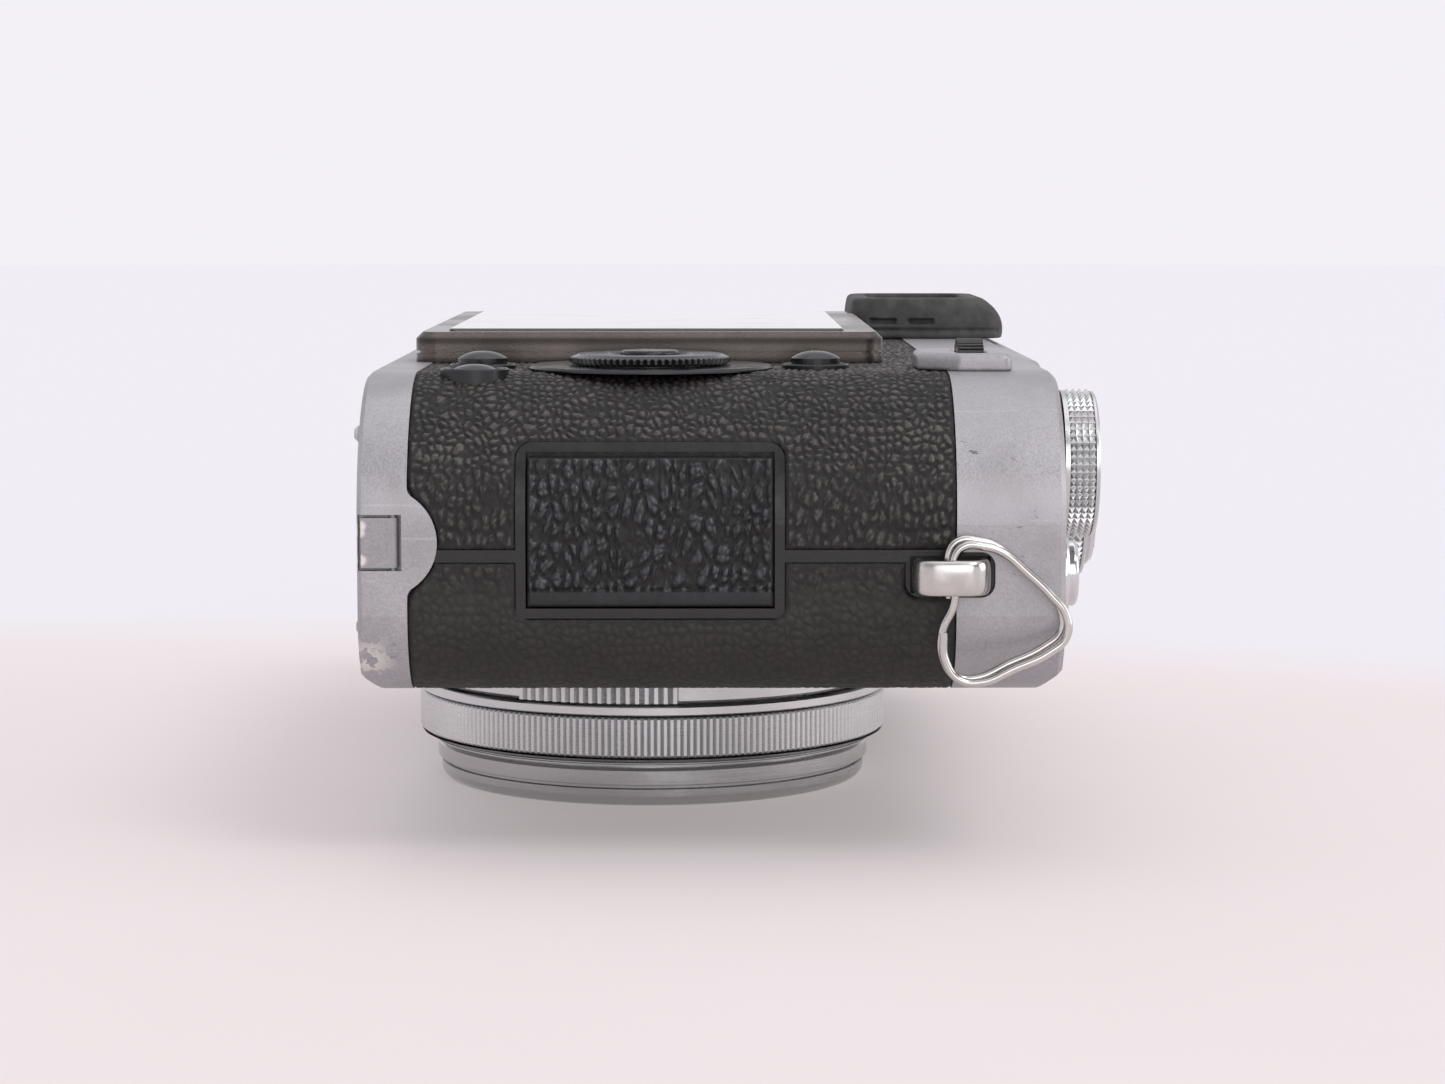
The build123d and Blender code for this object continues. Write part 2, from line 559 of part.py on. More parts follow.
with BuildPart() as shutter_drum:
    add(studded_drum(SHUTTER_RADIUS, 0.45, 72, 5, 0.2, 5.2))
    along_z(SHUTTER_RADIUS - 1.4, (5.2, 6.2))
    chamfer(shutter_drum.faces().sort_by(Axis.Z)[-1].edges(), 0.5)
with BuildPart() as shutter_dial:
    add(shutter_drum.part.moved(Location((DECK, *SHUTTER_AXIS), (0, 90, 0))))
    along_x(2.5, (DECK - 2.4, DECK + 0.4), SHUTTER_AXIS)
    along_x(1.2, (DECK + 5.9, DECK + 7), SHUTTER_AXIS, Mode.SUBTRACT)
keep(shutter_dial.part, "shutter_dial")

with BuildPart() as power_switch:
    y, z = RELEASE_AXIS
    along_x(COLLAR_RADIUS, (DECK + 0.2, DECK + 1.6), RELEASE_AXIS)
    chamfer(power_switch.faces().sort_by(Axis.X)[-1].edges(), 0.3)
    with BuildSketch(UP_X.offset(DECK + 0.2)):
        with Locations((y, z - COLLAR_RADIUS - 0.4)):
            Trapezoid(5.0, 3.0, 74, rotation=180)
    extrude(amount=1.3)
    along_x(4.2, (DECK - 2.0, DECK + 0.4), RELEASE_AXIS)
    along_x(RELEASE_RADIUS + RUN, (DECK - 3, DECK + 3), RELEASE_AXIS, Mode.SUBTRACT)
keep(power_switch.part, "power_switch")

with BuildPart() as shutter_button:
    along_x(RELEASE_RADIUS, (DECK - 1.2, DECK + 2.8), RELEASE_AXIS)
    fillet(shutter_button.faces().sort_by(Axis.X)[-1].edges(), 0.5)
    along_x(2.9, (DECK - 2.4, DECK - 1.2), RELEASE_AXIS)
    along_x(CABLE_RELEASE_RADIUS, (DECK - 0.2, DECK + 3), RELEASE_AXIS, Mode.SUBTRACT)
keep(shutter_button.part, "shutter_button")

with BuildPart() as function_button:
    along_x(2.1, (DECK - 2.0, DECK + 0.55), FUNCTION_AXIS)
    chamfer(function_button.faces().sort_by(Axis.X)[-1].edges(), 0.2)
keep(function_button.part, "function_button")

with BuildPart() as hot_shoe:
    y = (SHOE_Y[0] + 0.1, SHOE_Y[1] - 0.1)
    z = (SHOE_Z[0] + 0.1, SHOE_Z[1] - 0.1)
    cuboid((HIGH_DECK - 2.6, HIGH_DECK + 2.6), y, z)
    slot = (middle(y) - 9.35, middle(y) + 9.35)
    mouth = (middle(y) - 6.3, middle(y) + 6.3)
    cuboid((HIGH_DECK - 0.3, HIGH_DECK + 1.8), slot, (z[0] + 1.2, z[1] + 1), Mode.SUBTRACT)
    cuboid((HIGH_DECK + 1.5, HIGH_DECK + 3), mouth, (z[0] - 1, z[1] + 1), Mode.SUBTRACT)
    cuboid((HIGH_DECK - 0.3, HIGH_DECK + 3), mouth, (z[0] + 1.2, z[1] + 1), Mode.SUBTRACT)
    cuboid((HIGH_DECK - 1.8, HIGH_DECK), (middle(y) - 5.0, middle(y) + 5.0), (27.0, 39.5), Mode.SUBTRACT)
keep(hot_shoe.part, "hot_shoe")

CONTACTS = [(0, 33.2, 1.1), (-3.4, 36.6, 0.65), (3.4, 36.6, 0.65), (3.4, 29.8, 0.65)]
with BuildPart() as shoe_contacts:  # the contact plate of the shoe
    y = middle(SHOE_Y)
    cuboid((HIGH_DECK - 1.8, HIGH_DECK - 0.35), (y - 5.0, y + 5.0), (27.0, 39.5))
    for dy, z, radius in CONTACTS:
        along_x(radius, (HIGH_DECK - 1.0, HIGH_DECK - 0.3), (y + dy, z))
keep(shoe_contacts.part, "shoe_contacts")

with BuildPart() as flash_window:
    cuboid(FLASH_X, FLASH_Y, (FRONT + 0.05, FRONT + 2.2))
    for i in range(20):
        y = FLASH_Y[0] + 1.0 + 0.78 * i
        cuboid((FLASH_X[0] + 0.5, FLASH_X[1] - 0.5), (y, y + 0.4), (FRONT, FRONT + 0.3), Mode.SUBTRACT)
keep(flash_window.part, "flash_window")

with BuildPart() as focus_lamp:
    along_z(2.2, (FRONT + 0.2, FRONT + 2.6), LAMP_AXIS)
    fillet(focus_lamp.faces().sort_by(Axis.Z)[0].edges(), 0.5)
keep(focus_lamp.part, "focus_lamp")

with BuildPart() as finder_selector:
    along_z(3.4, (FRONT - 1.3, FRONT - 0.2), SELECTOR_AXIS)
    along_z(1.5, (FRONT - 0.3, FRONT + 3.2), SELECTOR_AXIS)
    with BuildSketch(Plane.XY.offset(FRONT - 2.6)):
        with Locations((SELECTOR_AXIS[0] - 4.2, SELECTOR_AXIS[1])):
            SlotCenterToCenter(4.6, 2.6)
    extrude(amount=2.2)
    along_z(2.4, (FRONT - 1.6, FRONT - 1.3), SELECTOR_AXIS)
    fillet(finder_selector.faces().sort_by(Axis.Z)[0].edges(), 0.5)
keep(finder_selector.part, "finder_selector")

with BuildPart() as lever_housing:
    with BuildSketch(Plane.XY.offset(REAR)) as hump:
        with BuildLine():
            y0, y1 = HUMP_Y
            side = [(27.2, y0 + 3.4), (31.2, y0), (36.6, y0), (36.6, y1), (31.2, y1), (27.2, y1 - 3.4)]
            Polyline(*side, close=True)
        make_face()
        fillet(hump.vertices().group_by(Axis.X)[-1], 1.0)
    extrude(amount=1.75)
    chamfer(lever_housing.faces().sort_by(Axis.Z)[-1].edges(), 0.4)
    cuboid((31.3, 34.2), (y0 + 2.4, y1 - 2.4), (REAR - 1, REAR + 3), Mode.SUBTRACT)
keep(lever_housing.part, "lever_housing")

LEVER_Y = LEVER_AXIS[0]
with BuildPart() as command_lever:
    with BuildSketch(Plane.XZ.offset(-LEVER_Y)) as blade:
        with Locations((32.75, REAR + 0.55)):
            Rectangle(2.4, 4.9)
    extrude(amount=3.3, both=True)
    cuboid((30, 36), (LEVER_Y - 4, LEVER_Y + 4), (REAR - 3, REAR + 0.3), Mode.SUBTRACT)
    for i in range(5):
        y = LEVER_Y + 1.3 * (i - 2)
        cuboid((30, 36), (y - 0.2, y + 0.2), (REAR + 2.65, REAR + 4), Mode.SUBTRACT)
    cuboid((32.2, 33.3), (LEVER_Y - 1.2, LEVER_Y + 1.2), (REAR - 1.8, REAR + 0.5))
    along_x(0.4, (30.7, 34.8), LEVER_AXIS)
keep(command_lever.part, "command_lever")


# ---------------------------------------------------------------- back: screen, buttons and wheel

PANEL_BACK = REAR - 3.4
with BuildPart() as screen_frame:
    cuboid(SCREEN_X, SCREEN_Y, (REAR, SCREEN_TOP - 0.25))
    fillet(screen_frame.edges().filter_by(Axis.Z), 2.2)
    chamfer(screen_frame.faces().sort_by(Axis.Z)[-1].edges(), 0.7)
    with BuildSketch(Plane.XY.offset(REAR + 0.9)):  # groove round the side
        with Locations((middle(SCREEN_X), middle(SCREEN_Y))):
            RectangleRounded(SCREEN_X[1] - SCREEN_X[0] + 2, SCREEN_Y[1] - SCREEN_Y[0] + 2, 2.4)
            RectangleRounded(SCREEN_X[1] - SCREEN_X[0] - 0.7, SCREEN_Y[1] - SCREEN_Y[0] - 0.7, 1.9,
                             mode=Mode.SUBTRACT)
    extrude(amount=0.3, mode=Mode.SUBTRACT)
    cuboid((-21.5, 21.7), (-22, 39), (PANEL_BACK - 1, REAR + 1.9), Mode.SUBTRACT)
    cuboid(GLASS_X, GLASS_Y, (REAR + 1.5, SCREEN_TOP + 1), Mode.SUBTRACT)
    cuboid((EYE_X[0] - 0.2, EYE_X[1]), (EYE_Y[0] - 0.2, EYE_Y[1]), (REAR - 1, EYE_TOP), Mode.SUBTRACT)
keep(screen_frame.part, "screen_frame")

with BuildPart() as screen_glass:
    cuboid(GLASS_X, GLASS_Y, (REAR + 1.5, SCREEN_TOP))
    fillet(screen_glass.edges().filter_by(Axis.Z), 0.6)
    chamfer(screen_glass.faces().sort_by(Axis.Z)[-1].edges(), 0.15)
    cuboid((GLASS_X[0] + 0.4, GLASS_X[1] - 0.4), (GLASS_Y[0] + 0.4, GLASS_Y[1] - 0.4),
           (PANEL_BACK + 0.6, REAR + 1.9))
keep(screen_glass.part, "screen_glass")

with BuildPart() as control_trim:  # the wheel's base, and the rims of the round buttons beside it
    along_z(12.4, (REAR, REAR + 0.35), WHEEL_AXIS)
    chamfer(control_trim.faces().sort_by(Axis.Z)[-1].edges(), 0.2)
    along_z(WHEEL_RADIUS - 1.2, (REAR - 3.3, REAR + 0.1), WHEEL_AXIS)
    along_z(WHEEL_RADIUS - 1.7, (REAR - 2.5, REAR + 1), WHEEL_AXIS, Mode.SUBTRACT)
    along_z(1.3, (REAR - 4, REAR), WHEEL_AXIS, Mode.SUBTRACT)
    for axis in RIMMED:
        ring_z(BUTTON_RADIUS + GAP, 3.4, (REAR - 2.0, REAR + 0.45), axis)
    rims = control_trim.faces().filter_by(Axis.Z).group_by(Axis.Z)[-1].edges()
    chamfer(rims, 0.15)
keep(control_trim.part, "control_trim")

with BuildPart() as wheel_disc:
    with BuildSketch(Plane.XY.offset(REAR + 0.5)):
        add(teeth(WHEEL_RADIUS, 0.35, 72, 0.3))
    extrude(amount=1.0)
    with BuildSketch(Plane.XZ):
        with BuildLine():
            z = REAR + 0.5
            edge = WHEEL_RADIUS + 0.1
            side = [(0, z), (edge - 0.4, z), (edge, z + 0.3), (edge, z + 0.6), (edge - 1.0, z + 1.0)]
            side += [(4.4, z + 1.0), (3.9, z + 0.7), (0, z + 0.7)]
            Polyline(*side, close=True)
        make_face()
    revolve(axis=Axis.Z, mode=Mode.INTERSECT)
    ring_z(5.0, WHEEL_RADIUS - 1.7 - RUN, (REAR - 2.0, REAR + 0.6))
    along_z(3.15, (REAR - 3, REAR + 3), mode=Mode.SUBTRACT)
with BuildPart() as wheel:
    add(wheel_disc.part.moved(Location((*WHEEL_AXIS, 0))))
keep(wheel.part, "wheel")

with BuildPart() as menu_button:
    along_z(2.95, (REAR - 1.4, REAR + 1.85), WHEEL_AXIS)
    fillet(menu_button.faces().sort_by(Axis.Z)[-1].edges(), 0.35)
    along_z(1.3 - RUN, (REAR - 3.8, REAR - 1.4), WHEEL_AXIS)
keep(menu_button.part, "menu_button")

ROUND_BUTTONS = {
    "lock_button": (LOCK_AXIS, 1.7),
    "display_button": (DISPLAY_AXIS, 1.7),
    "quick_button": (QUICK_AXIS, 0.8),
}
for name, x in LEFT_BUTTONS.items():
    ROUND_BUTTONS[name] = ((x, LEFT_BUTTON_Y), 0.9)
for name, (axis, height) in ROUND_BUTTONS.items():
    with BuildPart() as button:
        low = REAR - 2.2 if name == "quick_button" else REAR - 2.6
        along_z(BUTTON_RADIUS, (low, REAR + height - 0.7), axis)
        with BuildSketch(Plane(origin=(*axis, 0), x_dir=(1, 0, 0), z_dir=(0, -1, 0))):
            with BuildLine():
                top = REAR + height
                start, end = (BUTTON_RADIUS, top - 0.7), (0, top)
                ThreePointArc(start, (BUTTON_RADIUS * 0.62, top - 0.2), end)
                Polyline(end, (0, top - 0.7), start)
            make_face()
        revolve(axis=Axis((*axis, 0), (0, 0, 1)))
    keep(button.part, name)

with BuildPart() as finder_housing:  # the black tunnel from the front window to the eyepiece
    clear_x, clear_y = (WINDOW_X[0] + 0.8, WINDOW_X[1] - 0.8), (WINDOW_Y[0] + 1.2, WINDOW_Y[1] - 1.2)
    cuboid((WINDOW_X[0] - 0.5, DECK - PLATE - 0.2), (WINDOW_Y[0] - 1, WINDOW_Y[1] + 1),
           (FRONT + 2.0, REAR - 2.4))
    cuboid(WINDOW_X, WINDOW_Y, (FRONT + 1.2, FRONT + 2.0))
    cuboid((EYE_CUT_X[0] + 0.1, EYE_CUT_X[1] - 0.1), (EYE_CUT_Y[0] + 0.1, EYE_CUT_Y[1] - 0.1),
           (REAR - 2.4, REAR + 1.0))
    cuboid(clear_x, clear_y, (FRONT, REAR - 2.4), Mode.SUBTRACT)
    cuboid(EYE_HOLE_X, EYE_HOLE_Y, (REAR - 3, REAR + 2), Mode.SUBTRACT)
keep(finder_housing.part, "finder_housing")

with BuildPart() as finder_glass:  # the front window and the eyepiece lens
    cuboid(WINDOW_X, WINDOW_Y, (FRONT + 0.3, FRONT + 1.2))
    cuboid(EYE_HOLE_X, EYE_HOLE_Y, (REAR - 1.6, REAR + 0.7))
keep(finder_glass.part, "finder_glass")


def rounded_tube(spans, radius, mode=Mode.ADD):
    """A loft between two rounded rectangles, each given as (x span, y span, z)."""
    sections = []
    for x, y, z in spans:
        with BuildSketch(Plane.XY.offset(z)) as section:
            with Locations((middle(x), middle(y))):
                RectangleRounded(x[1] - x[0], y[1] - y[0], radius)
        sections.append(section.sketch)
    loft(sections, mode=mode)


with BuildPart() as eyecup:
    eye_low = (EYE_X, EYE_Y, REAR + 0.02)
    eye_mid = ((EYE_X[0], EYE_X[1] - 1.1), (EYE_Y[0] + 0.3, EYE_Y[1] - 0.3), REAR + 3.0)
    eye_top = ((EYE_X[0] + 0.3, EYE_X[1] - 3.9), (EYE_Y[0] + 1.5, EYE_Y[1] - 1.5), EYE_TOP)
    rounded_tube([eye_low, eye_mid, eye_top], 3.0)
    fillet(eyecup.faces().sort_by(Axis.Z)[-1].edges(), 0.7)
    hole_low = ((EYE_HOLE_X[0] - 0.6, EYE_HOLE_X[1] + 0.6), (EYE_HOLE_Y[0] - 1.0, EYE_HOLE_Y[1] + 1.0), REAR)
    hole_top = ((25.6, 35.8), (EYE_Y[0] + 3.4, EYE_Y[1] - 3.4), EYE_TOP + 0.2)
    rounded_tube([hole_low, hole_top], 2.2, Mode.SUBTRACT)
    add(finder_housing.part, mode=Mode.SUBTRACT)
keep(eyecup.part, "eyecup")

with BuildPart() as diopter_drum:
    with BuildSketch(Plane.XY.offset(REAR - 4.5)):
        add(teeth(2.7, 0.25, 30, 0.3))
    extrude(amount=5.0)
    along_z(2.3, (REAR + 0.5, REAR + 0.8))
with BuildPart() as diopter_dial:
    add(diopter_drum.part.moved(Location((*DIOPTER_AXIS, 0))))
keep(diopter_dial.part, "diopter_dial")


# ---------------------------------------------------------------- lens


def turned(profile):
    """A solid of revolution about the optical axis, from (radius, z) corners."""
    with BuildPart() as solid:
        with BuildSketch(Plane.XZ):
            with BuildLine():
                Polyline(*profile, close=True)
            make_face()
        revolve(axis=Axis.Z)
    return solid.part


REAR_OF_LENS = 33.6
NECK = 21.8  # radius that the two lens rings turn on
RIM_TOP = 4.2
NOSE_TOP = 5.4
FOCUS_Z = (5.55, 9.95)
INDEX_Z = (10.1, 11.1)  # the fixed ring between the two turning ones
APERTURE_Z = (11.35, 16.1)
FLANGE_Z = 16.25

tube = [(17, 4.4), (21.0, 4.4), (21.0, NOSE_TOP + 0.1), (NECK, NOSE_TOP + 0.1), (NECK, INDEX_Z[0])]
tube += [(LENS_RADIUS - 0.12, INDEX_Z[0]), (LENS_RADIUS, INDEX_Z[0] + 0.12)]
tube += [(LENS_RADIUS, INDEX_Z[1] - 0.12), (LENS_RADIUS - 0.12, INDEX_Z[1]), (NECK, INDEX_Z[1])]
tube += [(NECK, FLANGE_Z), (26.0, FLANGE_Z), (26.0, FRONT + SKIN), (TUBE_RADIUS, FRONT + SKIN)]
tube += [(TUBE_RADIUS, REAR_OF_LENS), (13, REAR_OF_LENS), (13, 26.0), (11, 26.0), (11, 22.0)]
tube += [(8.6, 22.0), (8.6, 14.0), (7.6, 14.0), (7.6, 13.0), (8.4, 13.0), (8.4, 6.4), (17, 6.4)]
keep(turned(tube), "lens_tube")

nose = [(21.0, RIM_TOP), (23.4, RIM_TOP), (23.4, 4.5), (24.7, 4.5), (24.7, 4.65), (24.5, 4.7)]
nose += [(24.5, 4.8), (24.8, 4.85), (25.0, 4.95), (LENS_RADIUS - 0.15, NOSE_TOP), (21.0, NOSE_TOP)]
keep(turned(nose), "lens_nose")

rim = [(21.0, 0.5), (21.4, 0), (22.9, 0), (23.35, 0.2), (23.7, 0.6), (23.85, 1.1), (23.85, 1.85)]
rim += [(23.5, 1.95), (23.5, 2.2), (24.1, 2.3), (24.25, 2.45), (24.25, 3.9), (24.0, RIM_TOP)]
rim += [(21.0, RIM_TOP)]
keep(turned(rim), "front_rim")

bezel = [(20.4, 1.3), (21.0, 1.5), (21.0, 4.4), (17.0, 4.4), (17.0, 6.4), (10.4, 6.4), (10.4, 3.6)]
for i in range(6):
    bezel += [(11.4 + i, 3.6 - 0.35 * i), (11.4 + i, 3.25 - 0.35 * i)]
bezel += [(17.6, 1.3)]
keep(turned(bezel), "lens_bezel")

with BuildPart() as front_element:
    with BuildSketch(Plane.XZ):
        with BuildLine():
            ThreePointArc((0, 2.8), (5.4, 3.05), (10.4, 3.7))
            Polyline((10.4, 3.7), (10.4, 6.4), (8.2, 6.4), (8.2, 6.9), (0, 7.3), (0, 2.8))
        make_face()
    revolve(axis=Axis.Z)
keep(front_element.part, "front_element")

keep(turned([(0, 23.6), (11.0, 22.0), (11.0, 26.0), (0, 27.4)]), "rear_element")

with BuildPart() as focus_ring:
    with BuildSketch(Plane.XY.offset(FOCUS_Z[0])):
        add(teeth(LENS_RADIUS, 0.3, FLUTES, 0.45))
        Circle(NECK + RUN, mode=Mode.SUBTRACT)
    extrude(amount=FOCUS_Z[1] - FOCUS_Z[0])
    with BuildSketch(Plane.XZ):
        with BuildLine():
            low, high = FOCUS_Z
            edge = LENS_RADIUS - 0.35
            side = [(20, low), (edge, low), (LENS_RADIUS + 0.1, low + 0.4), (LENS_RADIUS + 0.1, high - 0.3)]
            side += [(edge, high), (20, high)]
            Polyline(*side, close=True)
        make_face()
    revolve(axis=Axis.Z, mode=Mode.INTERSECT)
keep(focus_ring.part, "focus_ring")

TAB_RADIUS = 27.4
TAB_TURN = -102.3  # where the grip-side tab sits, in degrees from +X
TAB_SPAN = 18.6
with BuildPart() as aperture_ring:
    with BuildSketch(Plane.XY.offset(APERTURE_Z[0])):
        Circle(25.7)
        Circle(NECK + RUN, mode=Mode.SUBTRACT)
    extrude(amount=APERTURE_Z[1] - APERTURE_Z[0])
    chamfer(aperture_ring.edges().filter_by(GeomType.CIRCLE).filter_by(lambda e: e.radius > 25), 0.3)
    for turn in (TAB_TURN, TAB_TURN + 180):
        points = []
        ridges = 17
        for i in range(ridges + 1):
            for share, r in ((0.0, TAB_RADIUS - 0.55), (0.3, TAB_RADIUS), (0.7, TAB_RADIUS)):
                angle = math.radians(turn - TAB_SPAN + 2 * TAB_SPAN * (i + share) / (ridges + 0.7))
                points.append((r * math.cos(angle), r * math.sin(angle)))
        for angle in (turn + TAB_SPAN + 0.9, turn, turn - TAB_SPAN - 0.9):
            r = 25.5 if angle != turn else 24.6
            points.append((r * math.cos(math.radians(angle)), r * math.sin(math.radians(angle))))
        with BuildSketch(Plane.XY.offset(APERTURE_Z[0] + 0.25)):
            with BuildLine():
                Polyline(*points, close=True)
            make_face()
        extrude(amount=4.1)
keep(aperture_ring.part, "aperture_ring")


# ---------------------------------------------------------------- inside

with BuildPart() as chassis:
    with BuildSketch(Plane.XY.offset(REAR_OF_LENS)):
        with Locations((4.75, 22.4)):
            Rectangle(49.3, 84.0)
        Rectangle(25.0, 17.4, mode=Mode.SUBTRACT)
        with Locations((WINDOW_X[0], middle(WINDOW_Y))):
            Rectangle(8, 24, mode=Mode.SUBTRACT)
    extrude(amount=1.4)
    for x, y in ((-17, -17), (-17, 57), (24, -17), (24, 28)):
        along_z(1.6, (REAR_OF_LENS + 1.4, REAR - 5.6), (x, y))
keep(chassis.part, "chassis")

with BuildPart() as sensor:
    cuboid((-15.5, 15.5), (-11.5, 11.5), (REAR_OF_LENS + 1.4, REAR_OF_LENS + 4.2))
keep(sensor.part, "sensor")

with BuildPart() as main_board:
    cuboid((-19.6, 24.8), (-18.6, 60.0), (REAR - 5.6, REAR - 4.4))
    along_z(8.0, (REAR - 7, REAR), WHEEL_AXIS, Mode.SUBTRACT)
    for x, y in ((-8, 4), (8, 6), (-6, 24), (12, 26)):
        cuboid((x - 4.5, x + 4.5), (y - 4.5, y + 4.5), (REAR - 6.8, REAR - 5.6))
keep(main_board.part, "main_board")

with BuildPart() as battery:
    cuboid((-24.6, 21.4), (-49.6, -21.6), (21.6, 36.6))
    fillet(battery.edges().filter_by(Axis.X), 1.6)
keep(battery.part, "battery")

with BuildPart() as memory_card:
    cuboid((-22.6, 9.4), (-46.8, -22.8), (40.3, 42.4))
keep(memory_card.part, "memory_card")

with BuildPart() as card_cage:  # holds the battery and the card
    cuboid((-22.4, 23.0), (-50.2, -21.0), (21.0, 43.2))
    cuboid((-23, 21.4), (-49.6, -21.6), (21.6, 36.6), Mode.SUBTRACT)
    cuboid((-23, 9.4), (-46.8, -22.8), (40.3, 42.4), Mode.SUBTRACT)
keep(card_cage.part, "card_cage")
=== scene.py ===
"""A compact camera lying on the rim of its lens on a pale table, seen from its grip end.

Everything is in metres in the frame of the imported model: +X is the camera's top plate, +Y its
viewfinder end and +Z its back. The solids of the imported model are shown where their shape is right,
with their edges softened. The leatherette, the connector door, the strap rings and their loops, the
eyecup, the command lever and its housing have their own, finer pieces.
"""

import math

import bpy
import numpy as np
from mathutils import Matrix, Vector


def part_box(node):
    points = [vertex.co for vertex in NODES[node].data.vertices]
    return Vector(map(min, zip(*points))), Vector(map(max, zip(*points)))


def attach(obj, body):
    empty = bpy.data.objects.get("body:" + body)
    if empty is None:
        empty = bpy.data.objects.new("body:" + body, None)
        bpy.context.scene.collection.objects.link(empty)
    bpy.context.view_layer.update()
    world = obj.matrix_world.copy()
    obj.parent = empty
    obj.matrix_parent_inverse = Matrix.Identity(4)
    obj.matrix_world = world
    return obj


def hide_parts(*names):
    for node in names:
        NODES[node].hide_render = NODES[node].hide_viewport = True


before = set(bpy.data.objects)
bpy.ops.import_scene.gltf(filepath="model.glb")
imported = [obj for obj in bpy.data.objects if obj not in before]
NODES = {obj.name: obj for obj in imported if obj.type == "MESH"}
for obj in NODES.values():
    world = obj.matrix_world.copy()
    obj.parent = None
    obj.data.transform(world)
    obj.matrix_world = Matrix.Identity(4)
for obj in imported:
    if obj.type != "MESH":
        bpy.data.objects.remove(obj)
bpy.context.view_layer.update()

MM = 0.001
ROOT = "camera_body"


# ---------------------------------------------------------------- material helpers


def feed(tree, socket, value):
    """Give a socket a number, a colour or the output of another node."""
    if isinstance(value, (int, float)):
        socket.default_value = value
    elif isinstance(value, tuple):
        socket.default_value = (*value, 1)
    else:
        tree.links.new(value, socket)


def map_range(tree, value, low, high, to_low, to_high):
    """A smooth step from to_low to to_high while value goes from low to high."""
    node = tree.nodes.new("ShaderNodeMapRange")
    node.interpolation_type = "SMOOTHSTEP"
    sockets = {"From Min": low, "From Max": high, "To Min": to_low, "To Max": to_high, "Value": value}
    for socket, number in sockets.items():
        feed(tree, node.inputs[socket], number)
    return node.outputs["Result"]


class Shader:
    """A Principled material with a few procedural layers in the object's own coordinates."""

    def __init__(self, name, **sockets):
        self.mat = bpy.data.materials.new(name)
        self.mat.use_nodes = True
        self.tree = self.mat.node_tree
        self.bsdf = self.tree.nodes["Principled BSDF"]
        self.coords = self.tree.nodes.new("ShaderNodeTexCoord").outputs["Object"]
        self.normal = None
        for socket, value in sockets.items():
            self.bsdf.inputs[socket.replace("_", " ")].default_value = value

    def link(self, value, socket):
        self.tree.links.new(value, socket)

    def stretched(self, scale):
        """The coordinates stretched by a scale per axis."""
        node = self.tree.nodes.new("ShaderNodeMapping")
        node.inputs["Scale"].default_value = scale
        self.link(self.coords, node.inputs["Vector"])
        return node.outputs["Vector"]

    def attribute(self, name):
        node = self.tree.nodes.new("ShaderNodeAttribute")
        node.attribute_name = name
        return node.outputs["Fac"]

    def noise(self, scale, detail=4.0, roughness=0.55, distortion=0.0, stretch=None):
        node = self.tree.nodes.new("ShaderNodeTexNoise")
        node.inputs["Scale"].default_value = scale
        node.inputs["Detail"].default_value = detail
        node.inputs["Roughness"].default_value = roughness
        node.inputs["Distortion"].default_value = distortion
        self.link(self.stretched(stretch) if stretch else self.coords, node.inputs["Vector"])
        return node.outputs["Fac"]

    def remap(self, value, low, high, to_low, to_high):
        return map_range(self.tree, value, low, high, to_low, to_high)

    def clouds(self, scale, detail=4.0, roughness=0.55, span=(0.3, 0.7), to=(0, 1), **more):
        """Noise with the part of it inside span carried onto the range to."""
        return self.remap(self.noise(scale, detail, roughness, **more), *span, *to)

    def math(self, operation, a, b):
        node = self.tree.nodes.new("ShaderNodeMath")
        node.operation = operation
        feed(self.tree, node.inputs[0], a)
        feed(self.tree, node.inputs[1], b)
        return node.outputs[0]

    def height(self):
        """The Z coordinate."""
        node = self.tree.nodes.new("ShaderNodeSeparateXYZ")
        self.link(self.coords, node.inputs[0])
        return node.outputs["Z"]

    def far_from(self, centre):
        """Distance from a point."""
        node = self.tree.nodes.new("ShaderNodeVectorMath")
        node.operation = "DISTANCE"
        self.link(self.coords, node.inputs[0])
        node.inputs[1].default_value = centre
        return node.outputs["Value"]

    def near(self, centre, radius, soft):
        """1 inside a ball, falling to 0 over soft."""
        return self.remap(self.far_from(centre), radius, radius + soft, 1, 0)

    def mix(self, factor, a, b):
        """Colour a, turning into colour b as factor goes from 0 to 1."""
        node = self.tree.nodes.new("ShaderNodeMix")
        node.data_type = "RGBA"
        feed(self.tree, node.inputs["Factor"], factor)
        feed(self.tree, node.inputs[6], a)
        feed(self.tree, node.inputs[7], b)
        return node.outputs[2]

    def part(self, share, factor):
        """A factor cut down to a share of itself."""
        return self.math("MULTIPLY", factor, share)

    def colour(self, value):
        self.link(value, self.bsdf.inputs["Base Color"])

    def rough(self, value):
        self.link(value, self.bsdf.inputs["Roughness"])

    def bump(self, height, distance, strength=1.0):
        node = self.tree.nodes.new("ShaderNodeBump")
        node.inputs["Distance"].default_value = distance
        node.inputs["Strength"].default_value = strength
        self.link(height, node.inputs["Height"])
        if self.normal:
            self.link(self.normal, node.inputs["Normal"])
        self.normal = node.outputs["Normal"]
        self.link(self.normal, self.bsdf.inputs["Normal"])


def tone(level, warm=0.0):
    """A grey, warmer or cooler by warm."""
    return (level * (1 + warm), level, level * (1 - warm))


# ---------------------------------------------------------------- materials

